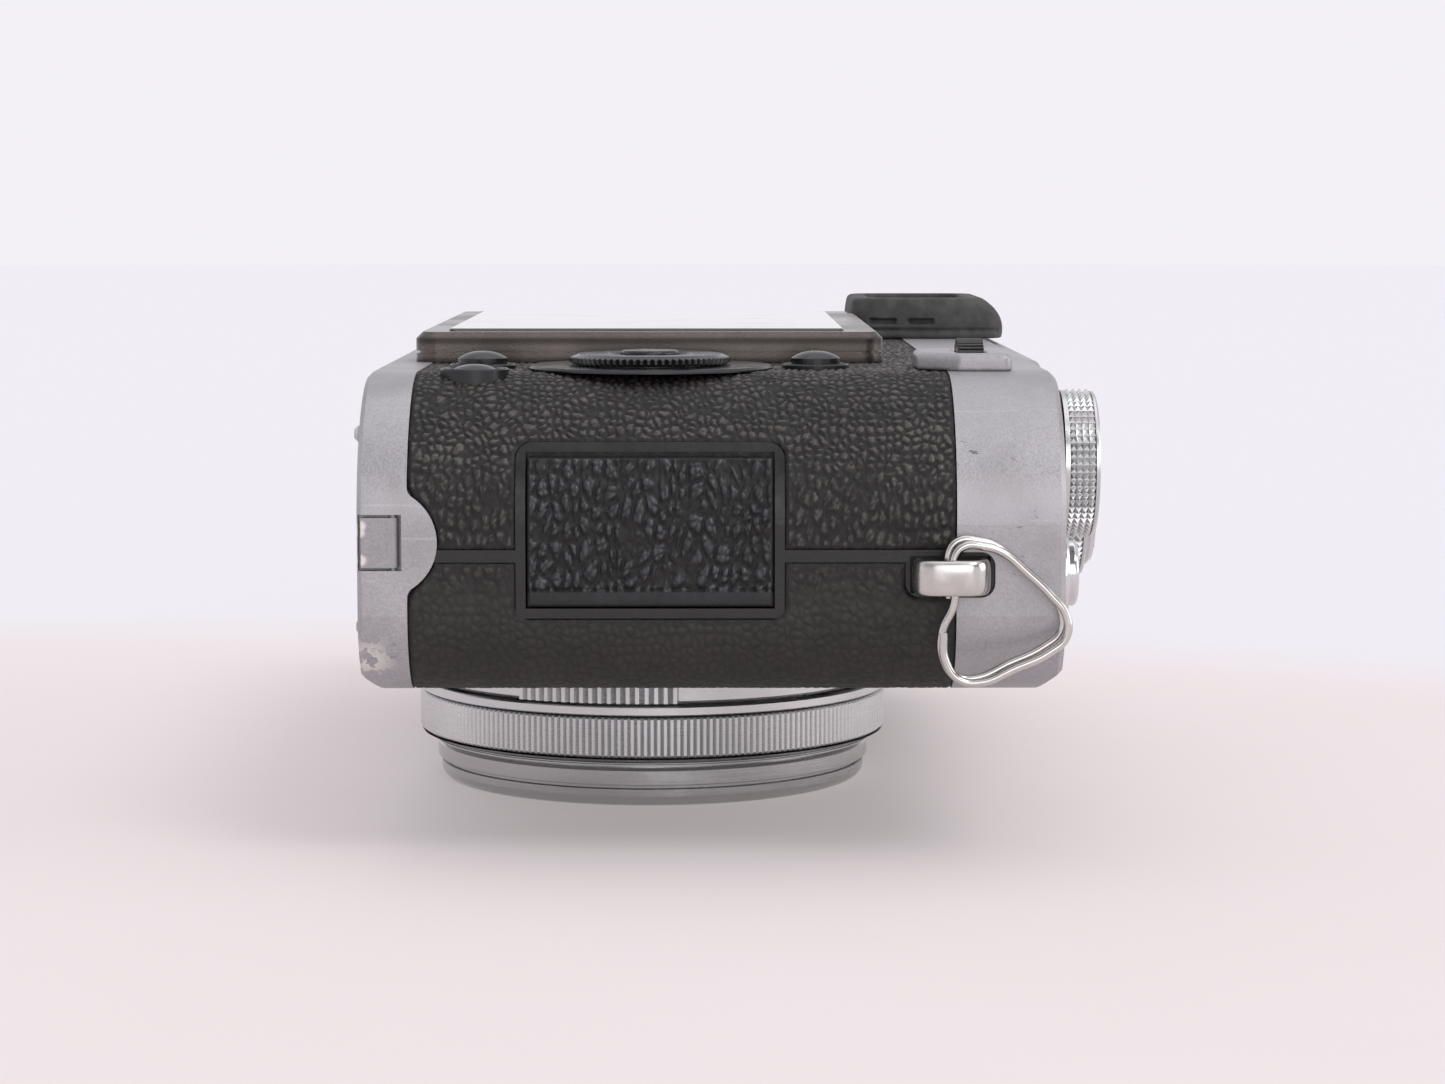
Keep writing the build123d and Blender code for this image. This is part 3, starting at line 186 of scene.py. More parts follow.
# a place and a size for each group of scratches in the silver paint
SCRATCHES = [
    ((0.0325, -0.0568, 0.0415), 0.0026),
    ((0.0345, -0.058, 0.0385), 0.0030),
    ((0.0372, -0.058, 0.0332), 0.002),
    ((0.0355, -0.058, 0.0300), 0.0016),
    ((-0.0255, -0.058, 0.0220), 0.003),
    ((0.0300, -0.0575, 0.0445), 0.0012),
]
WORN_CORNER = (-0.0266, -0.0577, 0.0196)
WORN_FLAP = [
    (-0.0270, -0.0579, 0.0334),
    (-0.0271, -0.0578, 0.0328),
    (-0.0270, -0.0579, 0.0301),
]
FLAKE_DARK, FLAKE_LIGHT = (0.36, 0.348, 0.362), (0.44, 0.426, 0.443)
CLOUDED, SMUDGED, DARKER_TONE = (0.30, 0.289, 0.301), (0.25, 0.24, 0.249), (0.1, 0.094, 0.1)
HAIRLINE, SCRATCH, BARE_METAL = tone(0.58), tone(0.07, 0.02), tone(0.72, 0.03)
BRONZE_DARK, BRONZE_LIGHT = (0.085, 0.072, 0.065), (0.16, 0.138, 0.126)
# the last is the colour of the painted shade on the side of the screen frame
BRONZE_CLOUD, BRONZE_PAINTED_SHADE = (0.07, 0.062, 0.058), (0.028, 0.022, 0.02)
LEATHER_DUST = tone(0.15, 0.03)


def silver_paint(name, darkening=0.0):
    """Flaked silver paint, smudged and scratched, with bare metal where it has worn off."""
    m = Shader(name, Metallic=0.6, IOR=1.5)
    flake = m.clouds(4200, 2, span=(0.32, 0.68))
    cloud = m.clouds(38, 5, 0.6, span=(0.3, 0.72))
    smudge = m.clouds(95, 5, 0.62, span=(0.44, 0.7), to=(0, 0.34), distortion=0.6)
    paint = m.mix(flake, FLAKE_DARK, FLAKE_LIGHT)
    paint = m.mix(m.part(0.35, cloud), paint, CLOUDED)
    paint = m.mix(smudge, paint, SMUDGED)
    # fine hairlines all over, and a few short deep scratches near the dials
    fine = m.clouds(60, 3, 0.5, span=(0.66, 0.70), stretch=(1, 30, 30))
    deep = m.clouds(950, 3, 0.6, span=(0.64, 0.67), distortion=1.2, stretch=(0.5, 1, 1.0))
    spots = None
    for spot, size in SCRATCHES:
        near = m.near(spot, size * 0.3, size)
        spots = near if spots is None else m.math("MAXIMUM", spots, near)
    deep = m.math("MULTIPLY", deep, spots)
    paint = m.mix(m.part(0.22, fine), paint, HAIRLINE)
    paint = m.mix(m.part(0.85, deep), paint, SCRATCH)
    # bare patches at a corner of the bottom cover and on the cable flap
    patches = m.clouds(620, 3, span=(0.5, 0.52))
    worn = m.math("MULTIPLY", m.near(WORN_CORNER, 0.0008, 0.0030), patches)
    for spot in WORN_FLAP:
        worn = m.math("MAXIMUM", worn, m.near(spot, 0.0003, 0.0004))
    # the whole paint is made darker by the share darkening; the cable flap takes it
    darkened = m.mix(darkening, paint, DARKER_TONE)
    m.colour(m.mix(m.part(0.85, worn), darkened, BARE_METAL))
    m.rough(m.remap(m.math("ADD", flake, cloud), 0, 2, 0.34, 0.5))
    m.bump(m.noise(4200, 2), 0.00002)
    m.bump(deep, 0.00004, 0.6)
    return m.mat


def leatherette(name, base, top, roughness):
    """Leather: colour and gloss follow its relief, painted shade in valleys, painted light on tops.
    """
    m = Shader(name, IOR=1.5, Specular_IOR_Level=0.5)
    # painted shade and painted light: the relief values darken the valleys and lighten the pebbles
    pebble = m.remap(m.attribute("relief_and_painted_light"), 0.5, 1.0, 0, 1)
    blotch = m.clouds(160, 4, 0.6, to=(0.55, 1.0))
    skin = m.mix(m.math("MULTIPLY", pebble, blotch), base, top)
    dust = m.clouds(2600, 3, 0.7, span=(0.68, 0.76), to=(0, 0.2))
    m.colour(m.mix(dust, skin, LEATHER_DUST))
    gloss = m.remap(pebble, 0, 1, 0.62, roughness)
    m.rough(m.math("ADD", gloss, m.clouds(1100, to=(-0.06, 0.08))))
    m.bump(m.noise(5200, 4, 0.7), 0.00004, 0.8)
    return m.mat


def satin_metal(name, level, warm, roughness, streak, darkening, metallic=1.0):
    """Machined or plated metal: fine turning lines along streak, soft clouds and a little grime."""
    m = Shader(name, Metallic=metallic)
    lines = m.clouds(420, 3, 0.6, stretch=streak)
    clouds = m.clouds(120, 4, 0.6, span=(0.35, 0.75))
    metal = m.mix(lines, tone(level * 0.94, warm), tone(level * 1.04, warm))
    m.colour(m.mix(m.part(darkening, clouds), metal, tone(level * 0.6, warm + 0.01)))
    m.rough(m.remap(m.math("ADD", lines, clouds), 0, 2, roughness - 0.07, roughness + 0.12))
    m.bump(m.noise(2400, 3, stretch=streak), 0.000003)
    return m.mat


def plastic(name, level, warm, roughness, grain=2200, depth=0.00002):
    """Moulded plastic or flat paint, a little uneven in tone and gloss."""
    m = Shader(name, IOR=1.48)
    m.colour(m.mix(m.clouds(210, 4, 0.6), tone(level * 0.8, warm), tone(level * 1.25, warm)))
    m.rough(m.clouds(700, to=(roughness - 0.06, roughness + 0.1)))
    m.bump(m.noise(grain, 3, 0.6), depth)
    return m.mat


def bronze_paint():
    """The screen's frame: dark metallic paint with a brown cast, and bands of painted shade on its
    side.
    """
    m = Shader("bronze_paint", Metallic=0.85, IOR=1.5)
    flake = m.clouds(8000, 2)
    cloud = m.clouds(90, 5)
    paint = m.mix(m.part(0.4, cloud), m.mix(flake, BRONZE_DARK, BRONZE_LIGHT), BRONZE_CLOUD)
    # painted shade: the side is darkened in a band round its middle and along its foot
    height = m.height()
    rising = m.remap(height, 0.0491, 0.0497, 0, 1)
    falling = m.remap(height, 0.0499, 0.0503, 1, 0)
    painted_shade_band = m.math("MULTIPLY", rising, falling)
    foot = m.remap(height, 0.0476, 0.0482, 1, 0)
    m.colour(m.mix(m.part(0.75, m.math("MAXIMUM", painted_shade_band, foot)), paint, BRONZE_PAINTED_SHADE))
    m.rough(m.remap(cloud, 0, 1, 0.2, 0.3))
    m.bump(m.noise(6000, 2), 0.00001)
    return m.mat


def rubber():
    m = Shader("eyecup_rubber", IOR=1.45)
    m.colour(m.mix(m.clouds(300, 5, 0.65), tone(0.028, 0.02), tone(0.06, 0.02)))
    m.rough(m.clouds(900, 3, to=(0.55, 0.75)))
    m.bump(m.noise(4200, 3, 0.7), 0.00003)
    return m.mat


def screen_face():
    """The smeared, glossy black of the screen."""
    m = Shader("screen_glass", IOR=1.52, Coat_Weight=1.0, Coat_Roughness=0.03)
    smear = m.clouds(70, 5, 0.6, span=(0.45, 0.75), distortion=0.6)
    m.colour(m.mix(smear, tone(0.008), tone(0.016)))
    m.rough(m.remap(smear, 0, 1, 0.05, 0.22))
    return m.mat


def lens_glass(name, tint):
    m = Shader(name, IOR=1.6, Transmission_Weight=1.0, Coat_Weight=0.6, Coat_Roughness=0.02)
    shade = m.clouds(60, 2)
    m.colour(m.mix(shade, tint, tuple(min(1.0, c * 1.08) for c in tint)))
    m.rough(m.remap(shade, 0, 1, 0.01, 0.03))
    return m.mat


ROUND_Z, ROUND_X, ALONG_Y, PLAIN = (0.4, 0.4, 60), (60, 0.6, 0.6), (1, 40, 1), (1, 1, 1)
SILVER = silver_paint("silver_paint")
FLAP = silver_paint("flap_paint", 0.22)
# each leather runs from its dark colour in the painted shade of the valleys to its light colour under
# the painted light on the pebbles; the door's light colour is bluish, a painted highlight colour
LEATHER = leatherette("body_leatherette", (0.0042, 0.0032, 0.0026), (0.076, 0.065, 0.057), 0.3)
DOOR_LEATHER = leatherette("door_leatherette", (0.0040, 0.0037, 0.0037), (0.052, 0.056, 0.066), 0.22)
TURNED = satin_metal("turned_aluminium", 0.60, -0.006, 0.3, ROUND_Z, 0.12)
TURNED_DARK = satin_metal("turned_rim", 0.46, 0.0, 0.22, ROUND_Z, 0.12)
BRIGHT = satin_metal("bright_aluminium", 0.62, -0.006, 0.24, ROUND_X, 0.15)
NICKEL = satin_metal("nickel", 0.60, 0.035, 0.2, PLAIN, 0.4)
POLISHED = satin_metal("polished_collar", 0.7, 0.0, 0.12, (40, 1, 1), 0.25)
STEEL = satin_metal("brushed_steel", 0.48, 0.0, 0.3, ALONG_Y, 0.25)
BRONZE = bronze_paint()
TRIM = plastic("trim_paint", 0.006, 0.06, 0.33)
BLACK = plastic("black_plastic", 0.010, 0.02, 0.42)
DEEP = plastic("inner_black", 0.006, 0.0, 0.6)
GLOSSY = plastic("button_gloss", 0.012, -0.02, 0.15, grain=1500, depth=0.000006)
FLANGE = satin_metal("black_anodised", 0.042, -0.03, 0.22, PLAIN, 0.3, metallic=0.7)
FOOT = plastic("foot_grey", 0.45, 0.0, 0.45)
LEVER = plastic("lever_black", 0.028, 0.0, 0.3)
RUBBER = rubber()
SCREEN = screen_face()
CLEAR = lens_glass("clear_glass", (0.95, 0.97, 0.98))
COATED = lens_glass("coated_glass", (0.82, 0.86, 0.93))
DIFFUSER = plastic("flash_diffuser", 0.62, 0.01, 0.25, grain=1800)
BOARD = plastic("circuit_board", 0.03, -0.1, 0.45)
CELL = plastic("battery_wrap", 0.11, 0.0, 0.4)
INK = plastic("marking_ink", 0.02, 0.0, 0.5)


# ---------------------------------------------------------------- mesh helpers


def add(name, data):
    """A new object in the scene that shows data."""
    obj = bpy.data.objects.new(name, data)
    bpy.context.scene.collection.objects.link(obj)
    return obj


def new_object(name, verts, faces, mat, smooth=True, relief_and_painted_light=None):
    mesh = bpy.data.meshes.new(name)
    mesh.from_pydata(verts, [], faces)
    # the relief with painted light and painted shade worked into it, kept on the mesh for the
    # leather's colour
    if relief_and_painted_light is not None:
        mesh.attributes.new("relief_and_painted_light", "FLOAT", "POINT").data.foreach_set("value", relief_and_painted_light)
    mesh.validate()
    mesh.update()
    mesh.materials.append(mat)
    mesh.polygons.foreach_set("use_smooth", [smooth] * len(mesh.polygons))
    return add(name, mesh)


def evaluated_mesh(obj):
    """A mesh of an object as its modifiers or its text leave it. The object is removed."""
    bpy.context.view_layer.update()
    graph = bpy.context.evaluated_depsgraph_get()
    mesh = bpy.data.meshes.new_from_object(obj.evaluated_get(graph))
    bpy.data.objects.remove(obj)
    return mesh


def smooth_by_angle(mesh, limit):
    """Smooth shading, with every edge sharper than limit degrees kept hard."""
    mesh.polygons.foreach_set("use_smooth", [True] * len(mesh.polygons))
    mesh.set_sharp_from_angle(angle=math.radians(limit))


def soften(obj, width, angle=34):
    """A small round on every edge sharper than angle degrees."""
    bevel = obj.modifiers.new("edges", "BEVEL")
    bevel.width = width
    bevel.segments = 2
    bevel.limit_method = "ANGLE"
    bevel.angle_limit = math.radians(angle)
    bevel.use_clamp_overlap = True
    bevel.harden_normals = True


def centre(node):
    low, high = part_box(node)
    return tuple((a + b) / 2 for a, b in zip(low, high))


def smoothstep(low, high, value):
    t = np.clip((value - low) / (high - low), 0.0, 1.0)
    return t * t * (3 - 2 * t)


def hashed(ix, iy, seed):
    """A repeatable number from 0 to 1 for each whole-number pair."""
    n = np.sin(ix * 127.1 + iy * 311.7 + seed * 74.7) * 43758.5453
    return n - np.floor(n)


def cells(u, v, seed):
    """Distances from each point to its nearest and second nearest cell seeds, in cell widths."""
    scatter = 0.84
    iu, iv = np.floor(u), np.floor(v)
    first = np.full(u.shape, 9.0)
    second = np.full(u.shape, 9.0)
    for du in (-1, 0, 1):
        for dv in (-1, 0, 1):
            cu, cv = iu + du, iv + dv
            x = cu + 0.5 + scatter * (hashed(cu, cv, seed) - 0.5)
            y = cv + 0.5 + scatter * (hashed(cu, cv, seed + 1) - 0.5)
            d = np.hypot(u - x, v - y)
            second = np.minimum(second, np.maximum(first, d))
            first = np.minimum(first, d)
    return first, second


def value_noise(u, v, seed):
    """Smooth noise from 0 to 1 with features one unit wide."""
    iu, iv = np.floor(u), np.floor(v)
    fu, fv = smoothstep(0, 1, u - iu), smoothstep(0, 1, v - iv)
    top = hashed(iu, iv, seed) * (1 - fu) + hashed(iu + 1, iv, seed) * fu
    low = hashed(iu, iv + 1, seed) * (1 - fu) + hashed(iu + 1, iv + 1, seed) * fu
    return top * (1 - fv) + low * fv


# ---------------------------------------------------------------- the body's outline

LEATHER_LOW, LEATHER_HIGH = (b[0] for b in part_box("leather"))
GRIP_END, FAR_END = (b[1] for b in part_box("leather"))
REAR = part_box("leather")[1][2]
FRONT = 16.7 * MM
REAR_RADIUS = 14 * MM
FRONT_RADIUS = 8 * MM
SEAM_LOW, SEAM_HIGH = 29.9 * MM, 31.1 * MM
SKIN_DEPTH = 0.6 * MM
RIDGE = (-50.5 * MM, -36.5 * MM)
RIDGE_HEIGHT = 0.3 * MM


def stations(lengths, steps):
    """Distances along a path whose stretches have those lengths, each with about its own step."""
    out, start = [0.0], 0.0
    for length, step in zip(lengths, steps):
        count = max(1, round(length / step))
        out += [start + length * (i + 1) / count for i in range(count)]
        start += length
    return np.array(out)


def follow(path, s):
    """Y, Z and the outward normal at each distance s along path, a list of lines and arcs."""
    slack = 1e-9
    y, z, ny, nz = (np.zeros_like(s) for _ in range(4))
    start = 0.0
    for i, piece in enumerate(path):
        length = piece["length"]
        end = start + length
        before_end = s <= end + slack if i == len(path) - 1 else s < end - slack
        here = (s >= start - slack) & before_end
        t = (s[here] - start) / length
        if "centre" in piece:
            a = piece["from"] + (piece["to"] - piece["from"]) * t
            ny[here], nz[here] = np.cos(a), np.sin(a)
            y[here] = piece["centre"][0] + piece["radius"] * np.cos(a)
            z[here] = piece["centre"][1] + piece["radius"] * np.sin(a)
        else:
            (y0, z0), (y1, z1) = piece["ends"]
            y[here], z[here] = y0 + (y1 - y0) * t, z0 + (z1 - z0) * t
            ny[here], nz[here] = piece["normal"]
        start = end
    return y, z, ny, nz


def line(start, end, normal):
    return {"length": math.dist(start, end), "ends": (start, end), "normal": normal}


def arc(spot, radius, start, end):
    start, end = math.radians(start), math.radians(end)
    length = radius * abs(end - start)
    return {"length": length, "centre": spot, "radius": radius, "from": start, "to": end}


REAR_ARCS = [
    (GRIP_END + REAR_RADIUS, REAR - REAR_RADIUS),
    (FAR_END - REAR_RADIUS, REAR - REAR_RADIUS),
]
REAR_PATH = [
    line((GRIP_END, SEAM_HIGH), (GRIP_END, REAR - REAR_RADIUS), (-1, 0)),
    arc(REAR_ARCS[0], REAR_RADIUS, 180, 90),
    line((GRIP_END + REAR_RADIUS, REAR), (FAR_END - REAR_RADIUS, REAR), (0, 1)),
    arc(REAR_ARCS[1], REAR_RADIUS, 90, 0),
    line((FAR_END, REAR - REAR_RADIUS), (FAR_END, SEAM_HIGH), (1, 0)),
]
FRONT_ARCS = [
    (GRIP_END + FRONT_RADIUS, FRONT + FRONT_RADIUS),
    (FAR_END - FRONT_RADIUS, FRONT + FRONT_RADIUS),
]
FRONT_PATH = [
    line((GRIP_END, SEAM_LOW), (GRIP_END, FRONT + FRONT_RADIUS), (-1, 0)),
    arc(FRONT_ARCS[0], FRONT_RADIUS, 180, 270),
    line((GRIP_END + FRONT_RADIUS, FRONT), (FAR_END - FRONT_RADIUS, FRONT), (0, -1)),
    arc(FRONT_ARCS[1], FRONT_RADIUS, 270, 360),
    line((FAR_END, FRONT + FRONT_RADIUS), (FAR_END, SEAM_LOW), (1, 0)),
]


def rounded_box(x, z, spot, half_x, half_z, radius):
    """Signed distance to a rounded rectangle, negative inside."""
    dx = np.abs(x - spot[0]) - half_x + radius
    dz = np.abs(z - spot[1]) - half_z + radius
    outside = np.hypot(np.maximum(dx, 0), np.maximum(dz, 0))
    return np.minimum(np.maximum(dx, dz), 0) + outside - radius


PORT_X = (-12.2 * MM, 13.6 * MM)
PORT_Z = (24.5 * MM, 41.3 * MM)
PORT_CORNER = 1.4 * MM
LUG_X, LUG_Z = 29.5 * MM, 28.7 * MM
LUG_HALF, LUG_CORNER = (4.3 * MM, 2.2 * MM), 1.3 * MM
LOBE_SPOT, LOBE_RADIUS, LOBE_FILLET = (-24.9 * MM, 31.8 * MM), 5.2 * MM, 1.2 * MM
END_DEPTH = 12 * MM
NOWHERE = 1.0


def covered(x, y, z):
    """Signed distance to what sits in the leather at the ends: door frame, lobe and loops."""
    out = np.full(x.shape, NOWHERE)
    spot = ((PORT_X[0] + PORT_X[1]) / 2, (PORT_Z[0] + PORT_Z[1]) / 2)
    half = ((PORT_X[1] - PORT_X[0]) / 2, (PORT_Z[1] - PORT_Z[0]) / 2)
    port = rounded_box(x, z, spot, *half, PORT_CORNER)
    above = x - LEATHER_LOW
    lobe = np.hypot(x - LOBE_SPOT[0], z - LOBE_SPOT[1]) - LOBE_RADIUS
    fillet = np.hypot(np.maximum(0, LOBE_FILLET - above), np.maximum(0, LOBE_FILLET - lobe))
    lobe = np.where((lobe < LOBE_FILLET) & (above < LOBE_FILLET), LOBE_FILLET - fillet, lobe)
    loop = rounded_box(x, z, (LUG_X, LUG_Z), *LUG_HALF, LUG_CORNER)
    grip = np.minimum(np.minimum(port, lobe), loop)
    out = np.where(y < GRIP_END + END_DEPTH, grip, out)
    return np.where(y > FAR_END - END_DEPTH, loop, out)


NOT_IN_LEATHER = ("shutter_button", "function_button", "menu_button")
BUTTONS = [n for n in NODES if n.endswith("_button") and n not in NOT_IN_LEATHER]
BOX_INSETS = {"screen_frame": 1.2, "eyecup": 2.4}
BOX_CORNER = 1.0 * MM
WHEEL_REACH, BUTTON_REACH = 11.8 * MM, 3.0 * MM


def on_back(x, y):
    """Signed distance to what stands on the back: screen, finder, wheel and buttons."""
    out = np.full(x.shape, NOWHERE)
    for node, inset in BOX_INSETS.items():
        low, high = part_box(node)
        spot = ((low[0] + high[0]) / 2, (low[1] + high[1]) / 2)
        half = ((high[0] - low[0]) / 2 - inset * MM, (high[1] - low[1]) / 2 - inset * MM)
        out = np.minimum(out, rounded_box(x, y, spot, *half, BOX_CORNER))
    for node, reach in [("wheel", WHEEL_REACH)] + [(name, BUTTON_REACH) for name in BUTTONS]:
        spot = centre(node)
        out = np.minimum(out, np.hypot(x - spot[0], y - spot[1]) - reach)
    return out


# ---------------------------------------------------------------- leather

GRAIN, GRAIN_STEP, GRAIN_DEPTH = 0.86 * MM, 0.17 * MM, 0.34 * MM
LENS_HOLE = 25.6 * MM
# steps along the end, the round corner and the face of a skin, then the far corner and far end
SKIN_STEPS = (0.16 * MM, 0.16 * MM, 0.34 * MM, 0.24 * MM, 0.24 * MM)
RIM_WIDTH, RIM_DROP = 0.4 * MM, 0.2 * MM
WINDOW_DROP, WINDOW_CUT = 0.75 * MM, 0.55 * MM
ROUND_SQUASH, DRAWN_SQUASH = 0.82, 0.44
DOOR_STEP = 0.13 * MM
DOOR_GRAIN, DOOR_SQUASH, DOOR_DEPTH = 1.15 * MM, 0.55, 0.5 * MM
DOOR_THICK = 1.3 * MM
DOOR_DROP, DOOR_SUNK = 0.22 * MM, 0.05 * MM
DOOR_INSET, DOOR_OVERLAP = 0.7 * MM, 0.1 * MM
LIP, LIP_BULGE = 1.5 * MM, 0.1 * MM
LIP_RELIEF = 0.62
SEEDS = {"rear": 3, "front": 11, "door": 47}


def grain(u, v, size, seed):
    """Height of the pressed grain, from 0 in the valleys to about 1 on the pebbles."""
    wave = 0.7 * size
    bend_u = u + wave * (value_noise(u / size * 0.6, v / size * 0.6, seed + 5) - 0.5)
    bend_v = v + wave * (value_noise(u / size * 0.6, v / size * 0.6, seed + 6) - 0.5)
    near, second = cells(bend_u / size, bend_v / size, seed)
    pebble = smoothstep(0.0, 0.5, second - near) * (1.0 - 0.4 * near)
    small, other = cells(bend_u / size * 2.1, bend_v / size * 2.1, seed + 2)
    detail = smoothstep(0.0, 0.5, other - small)
    rolling = value_noise(u / size * 0.45, v / size * 0.45, seed + 9)
    return 0.66 * pebble + 0.24 * detail + 0.25 * rolling


def painted_light_relief(height, s, z, depth):
    """Relief as painted light and shade: dark valleys, light tops, lighter slopes that face up."""
    # painted light: slopes that turn upward are made lighter, as if lit from above
    rise = -np.gradient(height, s, axis=0) * np.gradient(z, s)[:, None] * 0.2 * MM
    strength = np.clip(1.5 * depth / GRAIN_DEPTH - 0.35, 0.1, 1.1)
    # painted shade in the valleys and painted light on the pebble tops, less of both where the grain
    # is shallow
    return 0.63 + strength * (0.65 * (height - 0.72) + 0.85 * np.clip(rise, -0.45, 0.6))


def surface(path, s, x):
    """Grids of X, of distance along path, and of the point and outward normal there."""
    outline = follow(path, s)
    sx, ss = np.meshgrid(x, s)
    yy, zz, nyy, nzz = (np.repeat(a[:, None], len(x), axis=1) for a in outline)
    return sx, ss, yy, zz, nyy, nzz, outline[1]


def lifted(sx, yy, zz, nyy, nzz, lift):
    """The points of a surface, moved along its normals."""
    return np.stack([sx, yy + nyy * lift, zz + nzz * lift], axis=-1).reshape(-1, 3)


def quad_grid(rows, cols):
    """Numbers of the points of a grid, and of the four corners of each of its squares."""
    index = np.arange(rows * cols).reshape(rows, cols)
    corners = [index[:-1, :-1], index[:-1, 1:], index[1:, 1:], index[1:, :-1]]
    return index, np.stack(corners, axis=-1)


def leather_sheet(name, path, seed):
    """A skin over path from the bottom cover to the top cover, with its grain in the mesh.

    It is built as one grid and cut into a piece for each end and one for the face between them.
    """
    lengths = [p["length"] for p in path]
    s = stations(lengths, SKIN_STEPS)
    x = stations([LEATHER_HIGH - LEATHER_LOW], [GRAIN_STEP]) + LEATHER_LOW
    sx, ss, yy, zz, nyy, nzz, z = surface(path, s, x)
    # pebbles are drawn out along Z in the middle of the ends, and flatter toward the front
    at_end = 0.85 * (1.0 - smoothstep(2 * MM, 9 * MM, np.abs(zz - 33 * MM)))
    round_grain = grain(sx, ss * ROUND_SQUASH, GRAIN, seed)
    drawn_grain = grain(sx, ss * DRAWN_SQUASH, GRAIN, seed + 30)
    height = round_grain * (1 - at_end) + drawn_grain * at_end
    depth = GRAIN_DEPTH * (0.32 + 0.68 * smoothstep(26 * MM, 33 * MM, zz))
    edge_s = np.minimum(s, s[-1] - s)
    edge_x = np.minimum(x - LEATHER_LOW, LEATHER_HIGH - x)
    hidden = covered(sx, yy, zz)
    rim = np.minimum(np.minimum(edge_s[:, None], edge_x[None, :]), np.abs(hidden))
    lift = depth * (height - 0.85) * (0.45 + 0.55 * smoothstep(0.0, 0.7 * MM, rim))
    lift -= RIM_DROP * (1 - smoothstep(0.0, RIM_WIDTH, rim))
    if path is FRONT_PATH:
        across = np.clip((yy - RIDGE[0]) / (RIDGE[1] - RIDGE[0]), 0, 1)
        lift += np.where(nzz < -0.99, RIDGE_HEIGHT * np.sin(np.pi * across) ** 1.5, 0)
    lift = np.where(hidden < 0.0, -WINDOW_DROP, lift)
    # painted light: the leather is made lighter where its surface turns to face up
    upturned = np.clip(nzz, 0, 1)
    relief_and_painted_light = painted_light_relief(height, s, z, depth) + 0.3 * upturned * (1 - 0.75 * upturned)
    # painted shade: the colour falls to its darkest along the rims, where the skin turns into its
    # seams and windows
    relief_and_painted_light *= smoothstep(0.1 * MM, 0.5 * MM, rim)
    # one more row all round, turned in towards the shell
    grids = (sx, yy, zz, nyy, nzz, lift, hidden, relief_and_painted_light)
    sx, yy, zz, nyy, nzz, lift, hidden, relief_and_painted_light = (np.pad(a, 1, mode="edge") for a in grids)
    for edge in (np.s_[0, :], np.s_[-1, :], np.s_[:, 0], np.s_[:, -1]):
        lift[edge] = -SKIN_DEPTH
    verts = lifted(sx, yy, zz, nyy, nzz, lift)
    gone = hidden < -WINDOW_CUT
    if path is REAR_PATH:
        gone |= (nzz > 0.99) & (on_back(sx, yy) < 0)
    else:
        gone |= (nzz < -0.99) & (np.hypot(sx, yy) < LENS_HOLE)
    _, quads = quad_grid(*sx.shape)
    shown = ~gone.reshape(-1)[quads].any(axis=-1)
    corners = [1 + int(np.searchsorted(s, sum(lengths[:n]) - 1e-7)) for n in (2, 3)]
    cuts = [0, *corners, len(quads)]
    for part, first, last in zip(("grip", "face", "far"), cuts, cuts[1:]):
        used = quads[first:last][shown[first:last]]
        names, faces = np.unique(used, return_inverse=True)
        obj = new_object(f"{name}_{part}", verts[names].tolist(), faces.reshape(-1, 4).tolist(),
                         LEATHER, relief_and_painted_light=relief_and_painted_light.reshape(-1)[names])
        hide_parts("leather")
        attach(obj, ROOT)


leather_sheet("leather_rear", REAR_PATH, SEEDS["rear"])
leather_sheet("leather_front", FRONT_PATH, SEEDS["front"])


# ---------------------------------------------------------------- connector door


